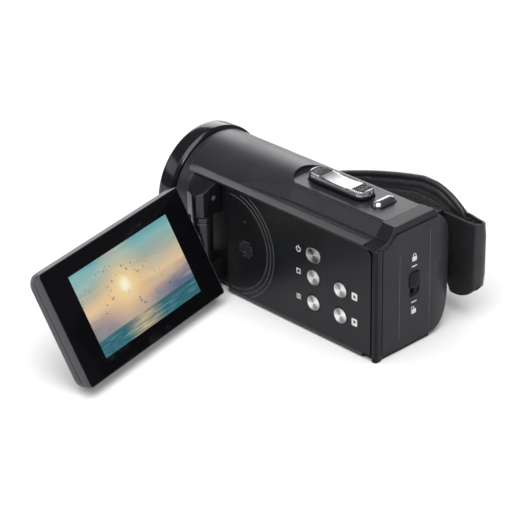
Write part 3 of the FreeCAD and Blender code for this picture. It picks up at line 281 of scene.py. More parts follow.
def seaside(name):
    """The lit picture in its own UV square: a plain evening sky, a low sea and drops of spray."""
    paint = Paint(name, "UV", Roughness=0.22, Coat_Weight=1.0, Coat_Roughness=0.03,
                  Emission_Strength=0.72, Specular_IOR_Level=0.3)
    split = paint.add("ShaderNodeSeparateXYZ", {0: paint.where})
    across, up = split.outputs[0], split.outputs[1]
    width = 1.83  # of the picture, for a height of 1

    def scaled(*scale):
        return paint.add("ShaderNodeMapping", {"Scale": scale, "Vector": paint.where}).outputs["Vector"]

    square = scaled(width, 1, 1)

    def apart(x, y):
        """Distance from a spot in the picture."""
        feeds = {0: square, 1: (x * width, y, 0)}
        return paint.add("ShaderNodeVectorMath", feeds, operation="DISTANCE").outputs["Value"]

    def off(value, centre):
        return paint.maths("ABSOLUTE", paint.maths("SUBTRACT", value, centre))

    cloud = paint.noise(0.45, 6, scaled(0.8, 2.6, 1), 0.5)
    wavy = paint.maths("ADD", up, paint.between(cloud, -0.09, 0.09, 0.25, 0.75))
    sky = paint.ramp(wavy, [(0.20, (0.42, 0.36, 0.34)), (0.34, (0.60, 0.42, 0.33)),
                            (0.54, (0.84, 0.60, 0.35)), (0.72, (0.38, 0.44, 0.38)),
                            (0.88, (0.26, 0.50, 0.50)), (1.0, (0.13, 0.38, 0.42))])
    low_sides = paint.times(paint.between(off(across, 0.42), 0, 0.9, 0.1, 0.42),
                            paint.between(wavy, 1, 0, 0.24, 0.5))
    sky = paint.mix(low_sides, sky, (0.09, 0.15, 0.26))
    sky = paint.mix(paint.between(cloud, 0, 0.45, 0.5, 0.72), sky, (0.74, 0.62, 0.46))
    from_sun = apart(0.41, 0.58)
    for most, inner, outer, glow in ((0.8, 0.02, 0.52, (0.95, 0.63, 0.30)),
                                     (0.75, 0.04, 0.26, (1.0, 0.80, 0.42)),
                                     (1.0, 0.035, 0.11, (1.0, 0.97, 0.74))):
        sky = paint.mix(paint.between(from_sun, most, 0, inner, outer), sky, glow)
    ripple = paint.noise(0.16, 6, scaled(0.8, 6.5, 1), 0.6)
    sea = paint.ramp(ripple, [(0.3, (0.03, 0.13, 0.17)), (0.5, (0.035, 0.15, 0.19)),
                              (0.64, (0.09, 0.25, 0.28)), (0.78, (0.45, 0.60, 0.57))])
    glint = paint.times(paint.between(off(across, 0.45), 0.75, 0, 0.02, 0.2),
                        paint.between(ripple, 0.4, 1, 0.4, 0.65))
    sea = paint.mix(glint, sea, (0.95, 0.66, 0.30))
    level = paint.maths("ADD", up, paint.between(cloud, -0.012, 0.012))
    crest = paint.times(paint.between(level, 0, 1, 0.155, 0.18),
                        paint.between(across, 0.1, 0.85, 0.4, 0.75))
    sea = paint.mix(crest, sea, (0.04, 0.10, 0.13))
    view = paint.mix(paint.between(level, 0, 1, 0.185, 0.198), sea, sky)
    mottle = paint.between(paint.noise(0.09, 2, square), 0, 1, 0.46, 0.6)
    drops = paint.between(paint.cells(0.042, square), 1, 0, 0.24, 0.42)
    for x, y, reach in ((0.28, 0.18, 0.66), (0.46, 0.12, 0.62), (0.30, 0.10, 0.42)):
        band = paint.times(paint.between(off(apart(x, y), reach), 1, 0, 0.012, 0.055), mottle)
        view = paint.mix(paint.times(paint.times(drops, band), 0.9), view, (0.03, 0.17, 0.20))
    paint.colour(paint.mix(0.8, view, (0, 0, 0)))
    paint.give("Emission Color", view)
    return paint.material


def plastic(name, dark, light, rough, **values):
    """A moulded plastic from two greys, each with a little more blue."""
    return moulded(name, *((grey, grey, blue) for grey, blue in (dark, light)), rough, **values)


MATERIALS = {
    "shell_plastic": plastic("shell_plastic", (0.012, 0.0135), (0.02, 0.0225), (0.3, 0.38), wear=0.03),
    "side_plastic": plastic("side_plastic", (0.005, 0.006), (0.009, 0.0105), (0.3, 0.38),
                            height=0.000008, wear=0.02, Specular_IOR_Level=0.25),
    "gloss_plastic": plastic("gloss_plastic", (0.006, 0.007), (0.009, 0.0105), (0.12, 0.17),
                             height=0.000003, wear=0.03, Coat_Weight=0.12, Coat_Roughness=0.06),
    "door_plastic": plastic("door_plastic", (0.02, 0.022), (0.03, 0.033), (0.46, 0.56),
                            height=0.000018, wear=0.04, Specular_IOR_Level=0.22),
    "screen_shell": plastic("screen_shell", (0.038, 0.041), (0.056, 0.06), (0.34, 0.42), wear=0.08),
    "inner_plastic": plastic("inner_plastic", (0.006, 0.007), (0.012, 0.0135), (0.4, 0.5), wear=0.02,
                             Specular_IOR_Level=0.15),
    "chrome_key": metal("chrome_key", (0.41, 0.41, 0.42), (0.16, 0.24), height=0.000002),
    "spun_key": spun("spun_key"),
    "hardware": metal("hardware", (0.62, 0.62, 0.63), (0.24, 0.4), stretch=(1, 12, 1)),
    "brass_bush": metal("brass_bush", (0.74, 0.58, 0.3), (0.2, 0.32), stretch=(1, 1, 14)),
    "optic": optic("optic"),
    "screen_glass": plastic("screen_glass", (0.0028, 0.0034), (0.0036, 0.0044), (0.06, 0.1),
                            height=0.0, wear=0.0, Specular_IOR_Level=0.22),
    "display": seaside("display"),
    "board": circuit("board"),
    "cell_wrap": plastic("cell_wrap", (0.03, 0.036), (0.05, 0.058), (0.25, 0.35)),
    "seal_rubber": plastic("seal_rubber", (0.012, 0.012), (0.02, 0.02), (0.7, 0.85)),
    "strap_fabric": netting("strap_fabric"),
    "strap_leather": leather("strap_leather"),
}
THREAD = stitching("thread")
# The rear frame's paler edges are set high as a painted highlight along its bevels, besides wear.
RIM_PLASTIC = plastic("rim_plastic", (0.005, 0.0056), (0.008, 0.009), (0.26, 0.34), wear=0.2,
                      Specular_IOR_Level=0.2)
BLACK_STEEL = plastic("black_steel", (0.004, 0.0046), (0.008, 0.009), (0.3, 0.42), wear=0.03,
                      Specular_IOR_Level=0.3)  # a thick black coat hides the metal
# A pale grey: on the door's hairlines and the side panel's rings and hole rims it is a painted highlight
# along edges that catch the light; the hood screw is simply this pale grey.
PALE_TRIM_AND_HIGHLIGHT = plastic("pale_trim_and_highlight", (0.05, 0.055), (0.08, 0.086), (0.2, 0.3), wear=0.06)
WHITE_INK = ink("white_ink", (0.82, 0.82, 0.82), (0.62, 0.62, 0.62))
DARK_INK = ink("dark_ink", (0.006, 0.006, 0.006), (0.014, 0.014, 0.014))

for node, item in frame["nodes"].items():
    item.data.materials.clear()
    item.data.materials.append(RIM_PLASTIC if node == "rear_frame" else MATERIALS[SLOTS[node]])


# ---------------------------------------------------------------- mesh helpers

def box_mm(node):
    """A node's lowest and highest corners in millimetres."""
    low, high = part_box(node)
    return low / MM, high / MM


def middle_mm(node):
    """The middle of a node's box in millimetres."""
    low, high = box_mm(node)
    return (low + high) / 2


def put(name, data):
    """A new object in the scene."""
    item = bpy.data.objects.new(name, data)
    bpy.context.scene.collection.objects.link(item)
    return item


def mesh_mm(name, points, faces, matrix=Matrix()):
    """A mesh from points in millimetres."""
    mesh = bpy.data.meshes.new(name)
    mesh.from_pydata([matrix @ (Vector(point) * MM) for point in points], [], faces)
    return mesh


def piece(name, points, faces, slot, body=BODY, nodes=(), material=None, matrix=Matrix(), uvs=None,
          sharp=32.0):
    """A mesh piece from points in millimetres, finished and riding."""
    mesh = mesh_mm(name, points, faces, matrix)
    if uvs is not None:
        layer = mesh.uv_layers.new(name="UVMap")
        for loop in mesh.loops:
            layer.data[loop.index].uv = uvs[loop.vertex_index]
    return dress(mesh, name, slot, body, nodes, material, sharp)


def dress(mesh, name, slot, body, nodes=(), material=None, sharp=32.0):
    """Clean a mesh, make it an object and give it its body and the finish of its slot."""
    shape = bmesh.new()
    shape.from_mesh(mesh)
    bmesh.ops.remove_doubles(shape, verts=shape.verts, dist=1e-7)
    bmesh.ops.recalc_face_normals(shape, faces=shape.faces)
    shape.to_mesh(mesh)
    shape.free()
    for face in mesh.polygons:
        face.use_smooth = True
    mesh.set_sharp_from_angle(angle=math.radians(sharp))
    item = put(name, mesh)
    mesh.materials.append(material or MATERIALS[slot])
    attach(item, body)
    if nodes:
        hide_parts(*nodes)
    return item


def skin(rings, wrap=True, caps=(True, True)):
    """Points and faces of a surface through rings of the same number of points."""
    count = len(rings[0])
    points = [point for ring in rings for point in ring]
    faces = []
    for level in range(len(rings) - 1):
        for index in range(count if wrap else count - 1):
            following = (index + 1) % count
            faces.append((level * count + index, level * count + following,
                          (level + 1) * count + following, (level + 1) * count + index))
    if caps[0]:
        faces.append(tuple(range(count)))
    if caps[1]:
        faces.append(tuple(range(len(points) - count, len(points))))
    return points, faces


def circle(count):
    """The cosine and sine of even steps round a circle."""
    return [(math.cos(FULL * step / count), math.sin(FULL * step / count)) for step in range(count)]


def turned(profile, centre, axis, count):
    """Rings about a Y or Z axis through centre, from (distance along the axis, radius) pairs."""
    x, y, z = centre
    if axis == "Y":
        return [[(x + radius * c, along, z + radius * s) for c, s in circle(count)]
                for along, radius in profile]
    return [[(x + radius * c, y + radius * s, along) for c, s in circle(count)]
            for along, radius in profile]


def ring_solid(profile, centre, count=128):
    """A closed ring turned about the lens axis."""
    return skin(turned(profile + profile[:1], centre, "Y", count), caps=(False, False))


def rounded(width, height, radius, steps=8, left=None):
    """Outline of a rectangle about the origin, its round corners alike or others on its left."""
    points = []
    right, left = radius, radius if left is None else left
    for number, (sx, sy) in enumerate(((1, 1), (-1, 1), (-1, -1), (1, -1))):
        radius = right if sx > 0 else left
        cx, cy = sx * (width / 2 - radius), sy * (height / 2 - radius)
        for step in range(steps + 1):
            angle = math.pi / 2 * (number + step / steps)
            points.append((cx + radius * math.cos(angle), cy + radius * math.sin(angle)))
    return points


def merge(parts):
    """Several (points, faces) pairs as one."""
    points, faces = [], []
    for some, sides in parts:
        start = len(points)
        points += some
        faces += [tuple(index + start for index in side) for side in sides]
    return points, faces


def stack(outline, levels, lift, caps=(True, True)):
    """Levels of an outline: each level is (inset, height), and lift places a point."""
    return skin([[lift(x, y, height) for x, y in outline(inset)] for inset, height in levels], caps=caps)


def tube(path, radius, count, closed=False):
    """A round tube along a path of points."""
    spots = [Vector(point) for point in path]
    rings = []
    total = len(spots)
    for index, spot in enumerate(spots):
        before = spots[index - 1] if index or closed else spot
        after = spots[(index + 1) % total] if index < total - 1 or closed else spot
        run = (after - before).normalized()
        side = run.cross(Vector((0.12, 0.05, 1))).normalized()
        if abs(run.z) > 0.92:
            side = run.cross(Vector((1, 0.1, 0.05))).normalized()
        other = run.cross(side)
        rings.append([spot + (side * c + other * s) * radius for c, s in circle(count)])
    if closed:
        rings.append(rings[0])
    return skin(rings, caps=(not closed, not closed))


# ---------------------------------------------------------------- camera, lights and floor

AZIMUTH, ELEVATION, ROLL = (math.radians(angle) for angle in (136.79, 27.47, -1.15))
CAMERA_OFFSET = Vector((23.17, -16.58, 906.92)) * MM  # the origin, right of, above and ahead of the camera
FOCAL_LENGTH, SENSOR_WIDTH = 149.2, 36


def make_camera():
    """The camera, from its direction, its roll and its offset."""
    forward = -Vector((math.sin(AZIMUTH) * math.cos(ELEVATION),
                       -math.cos(AZIMUTH) * math.cos(ELEVATION), math.sin(ELEVATION)))
    level = Vector((math.cos(AZIMUTH), math.sin(AZIMUTH), 0))
    upright = level.cross(forward)
    right = level * math.cos(ROLL) + upright * math.sin(ROLL)
    up = -level * math.sin(ROLL) + upright * math.cos(ROLL)
    data = bpy.data.cameras.new("camera")
    data.lens = FOCAL_LENGTH
    data.sensor_width = SENSOR_WIDTH
    data.clip_start = 0.01
    item = put("camera", data)
    spot = -(right * CAMERA_OFFSET.x + up * CAMERA_OFFSET.y + forward * CAMERA_OFFSET.z)
    turn = Matrix((right, up, -forward)).transposed().to_4x4()
    item.matrix_world = Matrix.Translation(spot) @ turn
    bpy.context.scene.camera = item


def make_light(name, spot, target, size, radiance):
    """A soft panel light of a given size and radiance."""
    data = bpy.data.lights.new(name, "AREA")
    data.shape = "RECTANGLE"
    data.size, data.size_y = size
    data.energy = radiance * math.pi * size[0] * size[1]
    item = put(name, data)
    aim = Vector(target) - Vector(spot)
    turn = aim.to_track_quat("-Z", "Y").to_matrix().to_4x4()
    item.matrix_world = Matrix.Translation(Vector(spot)) @ turn
    item.visible_camera = False


def make_stage():
    """Five panel lights, a pale paper floor and a dim even sky."""
    make_light("overhead", (0.25, 0.25, 1.1), (0, 0, 0), (1.4, 1.4), 3.3)
    make_light("backdrop", (-0.75, -0.85, 0.42), (0, 0, 0.05), (1.5, 0.62), 2.75)
    make_light("fill", (0.95, 0.3, 0.7), (0, 0, 0.03), (0.7, 0.6), 1.5)
    make_light("edge", (0.85, -0.9, 0.62), (0, 0, 0.05), (0.7, 0.4), 1.3)
    make_light("glint", (0.42, 0.98, 0.72), (0, 0, 0.03), (0.35, 0.2), 6.0)
    reach = 4000
    corners = [(-reach, -reach, 0), (reach, -reach, 0), (reach, reach, 0), (-reach, reach, 0)]
    mesh = mesh_mm("floor", corners, [(0, 1, 2, 3)])
    floor = put("floor", mesh)
    floor.location.z = -0.0002
    paint = Paint("floor_paper", Specular_IOR_Level=0.1)
    paint.colour(paint.mix(paint.spread(paint.noise(0.4, 2)), (0.86, 0.86, 0.86), (0.88, 0.88, 0.88)))
    paint.rough(paint.between(paint.noise(0.01, 2), 0.8, 0.9))
    mesh.materials.append(paint.material)
    world = bpy.data.worlds.new("studio")
    bpy.context.scene.world = world
    world.use_nodes = True
    back = world.node_tree.nodes["Background"]
    back.inputs["Color"].default_value = (0.93, 0.95, 1.0, 1)
    back.inputs["Strength"].default_value = 0.13
    bpy.context.scene.view_settings.view_transform = "Standard"


make_camera()
make_stage()


# ---------------------------------------------------------------- lens end

def make_hood():
    """The glossy barrel end, with a fine lip in front and a bevel behind."""
    low, high = box_mm("lens_hood")
    front, rear, outer = low.y, high.y, high.x
    bore, groove = outer - 3.1, outer - 2.8
    profile = [(front + 6.4, bore), (front + 0.5, bore), (front + 0.12, bore + 0.18),
               (front, bore + 0.5), (front, outer - 0.75), (front + 0.1, outer - 0.36),
               (front + 0.36, outer - 0.1), (front + 0.75, outer), (front + 2.0, outer),
               (rear - 1.5, outer), (rear - 1.2, outer - 0.06), (rear - 0.98, outer - 0.24),
               (rear - 0.2, outer - 1.02), (rear - 0.05, outer - 1.2), (rear, outer - 1.4),
               (rear, groove), (front + 6.4, groove)]
    piece("hood_shell", *ring_solid(profile, middle_mm("lens_hood"), 160), "gloss_plastic",
          nodes=("lens_hood",), sharp=24)


def make_front_ring():
    """The ring round the front lens, grooved all over, and its bright inner rim."""
    low, high = box_mm("lens_trim_ring")
    centre = (low + high) / 2
    outer, front, rear = high.x, low.y, high.y
    last_groove, pitch = 18.3, 0.95
    profile = [(rear, outer), (front + 0.2, outer), (front, outer - 0.2)]
    radius = outer - 0.5
    while radius > last_groove:
        profile += [(front, radius), (front + 0.28, radius - 0.12), (front + 0.28, radius - 0.5),
                    (front, radius - 0.62)]
        radius -= pitch
    profile += [(front, 17.6), (front + 0.35, 16.4), (front + 0.62, 15.6), (rear, 15.55)]
    piece("front_ring", *ring_solid(profile, centre), "inner_plastic", nodes=("lens_trim_ring",), sharp=24)
    rim = [(front + 0.05, 17.4), (front - 0.25, 17.3), (front - 0.35, 17.0), (front - 0.25, 16.7),
           (front + 0.3, 16.5)]
    piece("lens_rim", *ring_solid(rim, centre), "hardware", sharp=50)


# ---------------------------------------------------------------- deck keys

def make_rocker():
    """The plated zoom rocker: ribbed pads at its ends and a dished middle."""
    low, high = box_mm("zoom_rocker")
    middle = (low + high) / 2
    half, reach = (high.x - low.x) / 2, (high.y - low.y) / 2
    top = high.z
    end_radius = half - 0.35
    rows, columns = 260, 12
    dish_end, ribs_start, ribs_end = 8.9, 9.4, 15.2
    rib_pitch, rib_depth = 0.95, 0.34

    def half_width(along, inset):
        """Half the key's width at a place along it: straight sides and round ends."""
        edge = reach - inset
        flat = edge - (end_radius - inset)
        if abs(along) <= flat:
            return half - inset
        share = min(1.0, (abs(along) - flat) / (end_radius - inset))
        return (half - end_radius) + (end_radius - inset) * math.sqrt(max(0.0, 1 - share * share))

    def crown(along):
        """Height of the top at a place along the key, under its highest."""
        place = abs(along)
        if place > ribs_start:
            groove = 0.5 - 0.5 * math.cos((place - ribs_start) * FULL / rib_pitch)
            return -0.05 - rib_depth * groove * (place < ribs_end)
        if place > dish_end:
            return -0.42 + 0.37 * (place - dish_end) / (ribs_start - dish_end)
        return -0.42 - 0.62 * (1 - (place / dish_end) ** 2)

    levels = [(0.0, middle.z - 1.65), (0.0, top - 1.35), (0.12, top - 1.1), (0.12, top - 0.9)]
    shares = [2 * row / rows - 1 for row in range(rows + 1)]
    stations = sorted({round(reach * (math.sin(math.pi / 2 * share) if abs(share) > 0.96 else share), 4)
                       for share in shares})

    def ring(inset, height, follow):
        """The key's right and left edges at an inset, level or following its crown."""
        right, left = [], []
        for station in stations:
            along = station / reach * (reach - inset)
            wide = half_width(along, inset)
            lift = height + (crown(along) if follow else 0)
            right.append((middle.x + wide, middle.y + along, lift))
            left.append((middle.x - wide, middle.y + along, lift))
        return right, left

    sides = [ring(inset, height, False) for inset, height in levels]
    sides += [ring(0.3, top - 0.16, True), ring(0.62, top, True)]
    walls = skin([right + left[::-1] for right, left in sides], caps=(True, False))
    grid = [[tuple(a[k] + (b[k] - a[k]) * column / columns for k in range(3))
             for column in range(columns + 1)] for a, b in zip(*sides[-1])]
    shell = merge([walls, skin(grid, wrap=False, caps=(False, False))])
    piece("zoom_key", *shell, "chrome_key", body="zoom_rocker", nodes=("zoom_rocker",), sharp=40)

    def outline(inset):
        right, left = ring(inset, 0, False)
        return [(x, y) for x, y, z in right + left[::-1]]

    skirt = stack(outline, [(-0.32, middle.z - 2.1), (-0.4, middle.z - 1.9), (-0.4, middle.z - 0.75),
                            (-0.25, middle.z - 0.55), (0.2, middle.z - 0.5)], lambda x, y, z: (x, y, z))
    piece("zoom_skirt", *skirt, "inner_plastic", body="zoom_rocker", sharp=40)


def make_photo_key():
    """The plated bar that takes a still picture: a half-round with domed ends."""
    low, high = box_mm("photo_button")
    middle = (low + high) / 2
    long, wide = high.x - low.x, high.y - low.y
    crest, base = high.z, high.z - 2.35

    def outline(inset):
        return rounded(long - 2 * inset, wide - 2 * inset, max(0.02, wide / 2 - inset - 0.01), 12)

    def lift(x, y, z):
        return middle.x + x, middle.y + y, z

    play, round_over, steps = 0.02, 2.6, 12
    levels = [(play, low.z + 0.4), (play, base)]
    for step in range(1, steps):
        angle = math.pi / 2 * step / steps
        levels.append((play + round_over * (1 - math.cos(angle)), base + (crest - base) * math.sin(angle)))
    levels.append((2.66, crest))
    piece("photo_key", *stack(outline, levels, lift), "chrome_key", body="photo_button",
          nodes=("photo_button",), sharp=40)
    collar = [(0.1, base - 0.55), (-0.55, base - 0.5), (-0.62, base - 0.1), (-0.5, base + 0.06),
              (-0.2, base + 0.06), (-0.12, base - 0.2)]
    piece("photo_collar", *stack(outline, collar, lift, (False, False)), "inner_plastic", sharp=40)


# ---------------------------------------------------------------- side keys and prints

PRINT = 0.03  # how far a printed mark stands out

def make_side_key(node):
    """A spun metal key with a rolled rim and turned rings dipping to its middle. Gives back its bezel."""
    low, high = box_mm(node)
    middle = (low + high) / 2
    flange, rings, face = 0.7, 15, high.x
    wide, tall = (high.y - low.y) / 2 - flange, (high.z - low.z) / 2 - flange
    power = 2.0 if abs(wide - tall) < 0.1 else 2.5
    levels = [(low.x + 1.0, 1.0), (face - 0.22, 1.0), (face - 0.07, 0.985), (face, 0.95),
              (face - 0.02, 0.92)]
    for step in range(rings):
        share = 0.9 * (1 - step / rings)
        dip = 0.10 * (1 - share) + 0.012 * (step % 2)
        levels.append((face - 0.05 - dip, share))

    def ring(x, share):
        """A circle or a squarer oval, as a share of the key's outline."""
        return [(x, middle.y + share * wide * math.copysign(abs(c) ** (2 / power), c),
                 middle.z + share * tall * math.copysign(abs(s) ** (2 / power), s)) for c, s in circle(72)]

    points, faces = skin([ring(x, share) for x, share in levels])
    piece(node + "_cap", points, faces, "spun_key", body=node, nodes=(node,), sharp=30)
    plane = box_mm("side_panel")[1].x
    lip = [(plane - 0.3, 1.055), (plane + 0.02, 1.06), (plane + 0.1, 1.09), (plane + 0.1, 1.15),
           (plane + 0.02, 1.2), (plane - 0.3, 1.2)]
    return skin([ring(x, share) for x, share in lip], caps=(False, False))


def plate(outline, lift):
    """A thin printed mark: outline points on a surface, lifted a little."""
    return skin([[lift(a, b, out) for a, b in outline] for out in (0.0, PRINT)], caps=(False, True))


def facing_out(plane):
    """A function that places (y, z, height) on an upright plane on the screen side."""
    return lambda y, z, out: (plane + out, y, z)


def shifted(outline, across, up):
    return [(x + across, y + up) for x, y in outline]


def bar(width, height, across, up):
    """Outline of a small printed bar."""
    return shifted(rounded(width, height, min(width, height) * 0.3, 3), across, up)


def hoop(outer, inner, start, end, lift, across, up, steps=20, thickness=PRINT):
    """A raised arc of a ring, from one angle to another."""
    angles = [start + (end - start) * step / steps for step in range(steps + 1)]
    rings = []
    for angle in angles:
        c, s = math.cos(angle), math.sin(angle)
        spots = [(inner * c + across, inner * s + up), (outer * c + across, outer * s + up)]
        rings.append([lift(*spots[0], 0), lift(*spots[0], thickness), lift(*spots[1], thickness),
                      lift(*spots[1], 0)])
    return skin(rings)


def make_side_prints():
    """Plain white marks beside the keys: a ring and bar, a square, three bars and two arrow plates."""
    plane = box_mm("side_panel")[1].x
    marks, darks = [], []
    beside, beside_arrow, line = -8.6, 7.9, 0.42
    on_side, on_white = facing_out(plane + 0.01), facing_out(plane + 0.045)

    def beside_key(node, along=beside):
        middle = middle_mm(node)
        return middle.y + along, middle.z

    y, z = beside_key("power_button")
    marks.append(hoop(1.35, 0.95, math.radians(120), math.radians(420), on_side, y, z))
    bars = [(line, 1.5, y, z + 0.95)]
    y, z = beside_key("mode_button")
    bars += [(2.3, line, y, z + rise) for rise in (0.95, -0.95)]
    bars += [(line, 1.5, y + across, z) for across in (-0.95, 0.95)]
    y, z = beside_key("menu_button")
    bars += [(2.6, line, y, z + rise) for rise in (0.85, 0.0, -0.85)]
    marks += [plate(bar(*sizes), on_side) for sizes in bars]
    for node, turn in (("up_button", 1), ("down_button", -1)):
        y, z = beside_key(node, beside_arrow)
        marks.append(plate(shifted(rounded(3.1, 3.3, 0.55, 4), y, z), on_side))
        arrow = [(-0.85, -0.65 * turn), (0.85, -0.65 * turn), (0, 0.85 * turn)]
        darks.append(plate(shifted(arrow, y, z), on_white))
    piece("side_prints", *merge(marks), "side_plastic", material=WHITE_INK, sharp=60)
    piece("side_print_arrows", *merge(darks), "side_plastic", material=DARK_INK, sharp=60)


def surface_of(mesh):
    """A ray-cast tree of a mesh."""
    return BVHTree.FromPolygons([tuple(vertex.co) for vertex in mesh.vertices],
                                [tuple(face.vertices) for face in mesh.polygons])


def make_door_marks():
    """Plain padlock marks above and below the lock, two raised hairlines and three grip bars."""
    tree = surface_of(frame["nodes"]["battery_door"].data)
    middle = middle_mm("lock_slider").x

    def on_door(x, z, out):
        """A spot on the door's outside, from a ray cast forwards from behind it."""
        hit = tree.ray_cast(Vector((x, 90, z)) * MM, Vector((0, -1, 0)))
        y = hit[0].y / MM if hit[0] else 60.0
        return x, y + 0.01 + out, z

    marks = []
    for rise, side in ((39.6, 0.0), (15.6, 0.75)):  # shut above, and open below with a leg free
        marks.append(plate(shifted(rounded(2.7, 2.1, 0.3, 3), middle, rise), on_door))
        marks.append(hoop(1.0, 0.66, 0.0, math.pi, on_door, middle + side, rise + 1.45, 12))
        for leg in (-0.83, 0.83):
            if side and leg > 0:
                continue
            marks.append(plate(bar(0.34, 0.7, middle + leg + side, rise + 1.25), on_door))
    marks += [plate(bar(3.2, 0.5, middle, rise), on_door) for rise in (36.3, 20.0)]
    piece("door_prints", *merge(marks), "door_plastic", body="battery_door", material=WHITE_INK, sharp=60)
    low, high = box_mm("battery_door")
    seams = []
    steps, hairline = 40, 0.17
    for across, start, end in ((-9.3, low.z + 1.4, high.z - 3.6), (8.6, low.z + 4.0, high.z - 9.0)):
        heights = [start + (end - start) * step / steps for step in range(steps + 1)]
        seams.append(tube([on_door(middle + across, z, -0.02) for z in heights], hairline, 8))
    # The hairlines take a paler grey than the door: a painted highlight along the seams.
    piece("door_seams", *merge(seams), "door_plastic", body="battery_door", material=PALE_TRIM_AND_HIGHLIGHT, sharp=60)
    ribs = []
    for x in (-15.0, -16.5, -18.0):
        levels = []
        for inset, out in ((0, -0.05), (0.05, 0.12), (0.18, 0.2)):
            outline = rounded(0.8 - 2 * inset, 9.0 - 2 * inset, 0.38 - inset, 4)
            levels.append([on_door(x + a, 28.0 + b, out) for a, b in outline])
        ribs.append(skin(levels))
    piece("door_grip_bars", *merge(ribs), "door_plastic", body="battery_door", sharp=40)


def make_rear_flange():
    """The wall inside the door's curve. It follows the round of the shell, and reaches back to the door."""
    low, high = box_mm("top_shell")
    axis_z, start = middle_mm("lens_hood").z, high.y - 1.2
    outer = (high.x - low.x) / 2 - 1.6
    door = surface_of(frame["nodes"]["battery_door"].data)
    first, turn, steps = 108, 97, 72  # in degrees: 90 is the top and 180 the strap side
    inside, door_gap = 0.955, 0.5  # the inner wall's share of the radius, and the room before the door
    rings = []
    for step in range(steps + 1):
        angle = math.radians(first + turn * step / steps)
        x, z = outer * math.cos(angle), max(3.0, axis_z + outer * math.sin(angle))
        hit = door.ray_cast(Vector((x, start, z)) * MM, Vector((0, 1, 0)))
        depth = hit[0].y / MM - door_gap if hit[0] else high.y + 0.3
        x_in, z_in = x * inside, axis_z + (z - axis_z) * inside
        rings.append([(x, start, z), (x, depth, z), (x_in, depth, z_in), (x_in, start, z_in)])
    piece("rear_flange", *skin(rings), "inner_plastic", sharp=35)


def make_lock_knob():
    """The lock's slider: a crowned thumb piece with cross ribs."""
    low, high = box_mm("lock_slider")
    door = box_mm("battery_door")[1].y
    wide, tall = (high.x - low.x) - 0.55, 7.4
    cx, base = (low.x + high.x) / 2, low.z + 1.0
    cz = base + tall / 2
    proud = high.y
    rings = []
    for inset, y in ((0, door - 0.95), (0, door - 0.1), (0.12, proud - 0.25), (0.35, proud - 0.08),
                     (0.7, proud)):
        outline = rounded(wide - 2 * inset, tall - 2 * inset, 2.0 - inset)
        rings.append([(cx + a, y, cz + b) for a, b in outline])
    parts = [skin(rings)]
    rib = rounded(wide - 2.4, 0.5, 0.22, 4)
    for number in range(4):
        z = cz - 2.1 + 1.4 * number
        parts.append(skin([[(cx + a, proud - 0.05, z + b) for a, b in rib],
                           [(cx + a * 0.97, proud + 0.16, z + b * 0.6) for a, b in rib]]))
    piece("lock_knob", *merge(parts), "inner_plastic", body="lock_slider", nodes=("lock_slider",), sharp=40)


# ---------------------------------------------------------------- screen

HINGE = Vector(JOINTS["screen_swing"]["pos_m"])
LEVEL_AXIS = JOINTS["screen_level"]["axis"]
SWING = math.atan2(LEVEL_AXIS[1], LEVEL_AXIS[0])
TILT = math.radians(28.0)
SCREEN = Matrix.Translation(HINGE) @ Matrix.Rotation(SWING, 4, "Z") @ Matrix.Rotation(TILT, 4, "X")


def local_span(node):
    """A screen node's lowest and highest corners in the panel's own frame, in millimetres."""
    back = SCREEN.inverted()
    spots = np.array([back @ vertex.co for vertex in frame["nodes"][node].data.vertices]) / MM
    return Vector(spots.min(0)), Vector(spots.max(0))


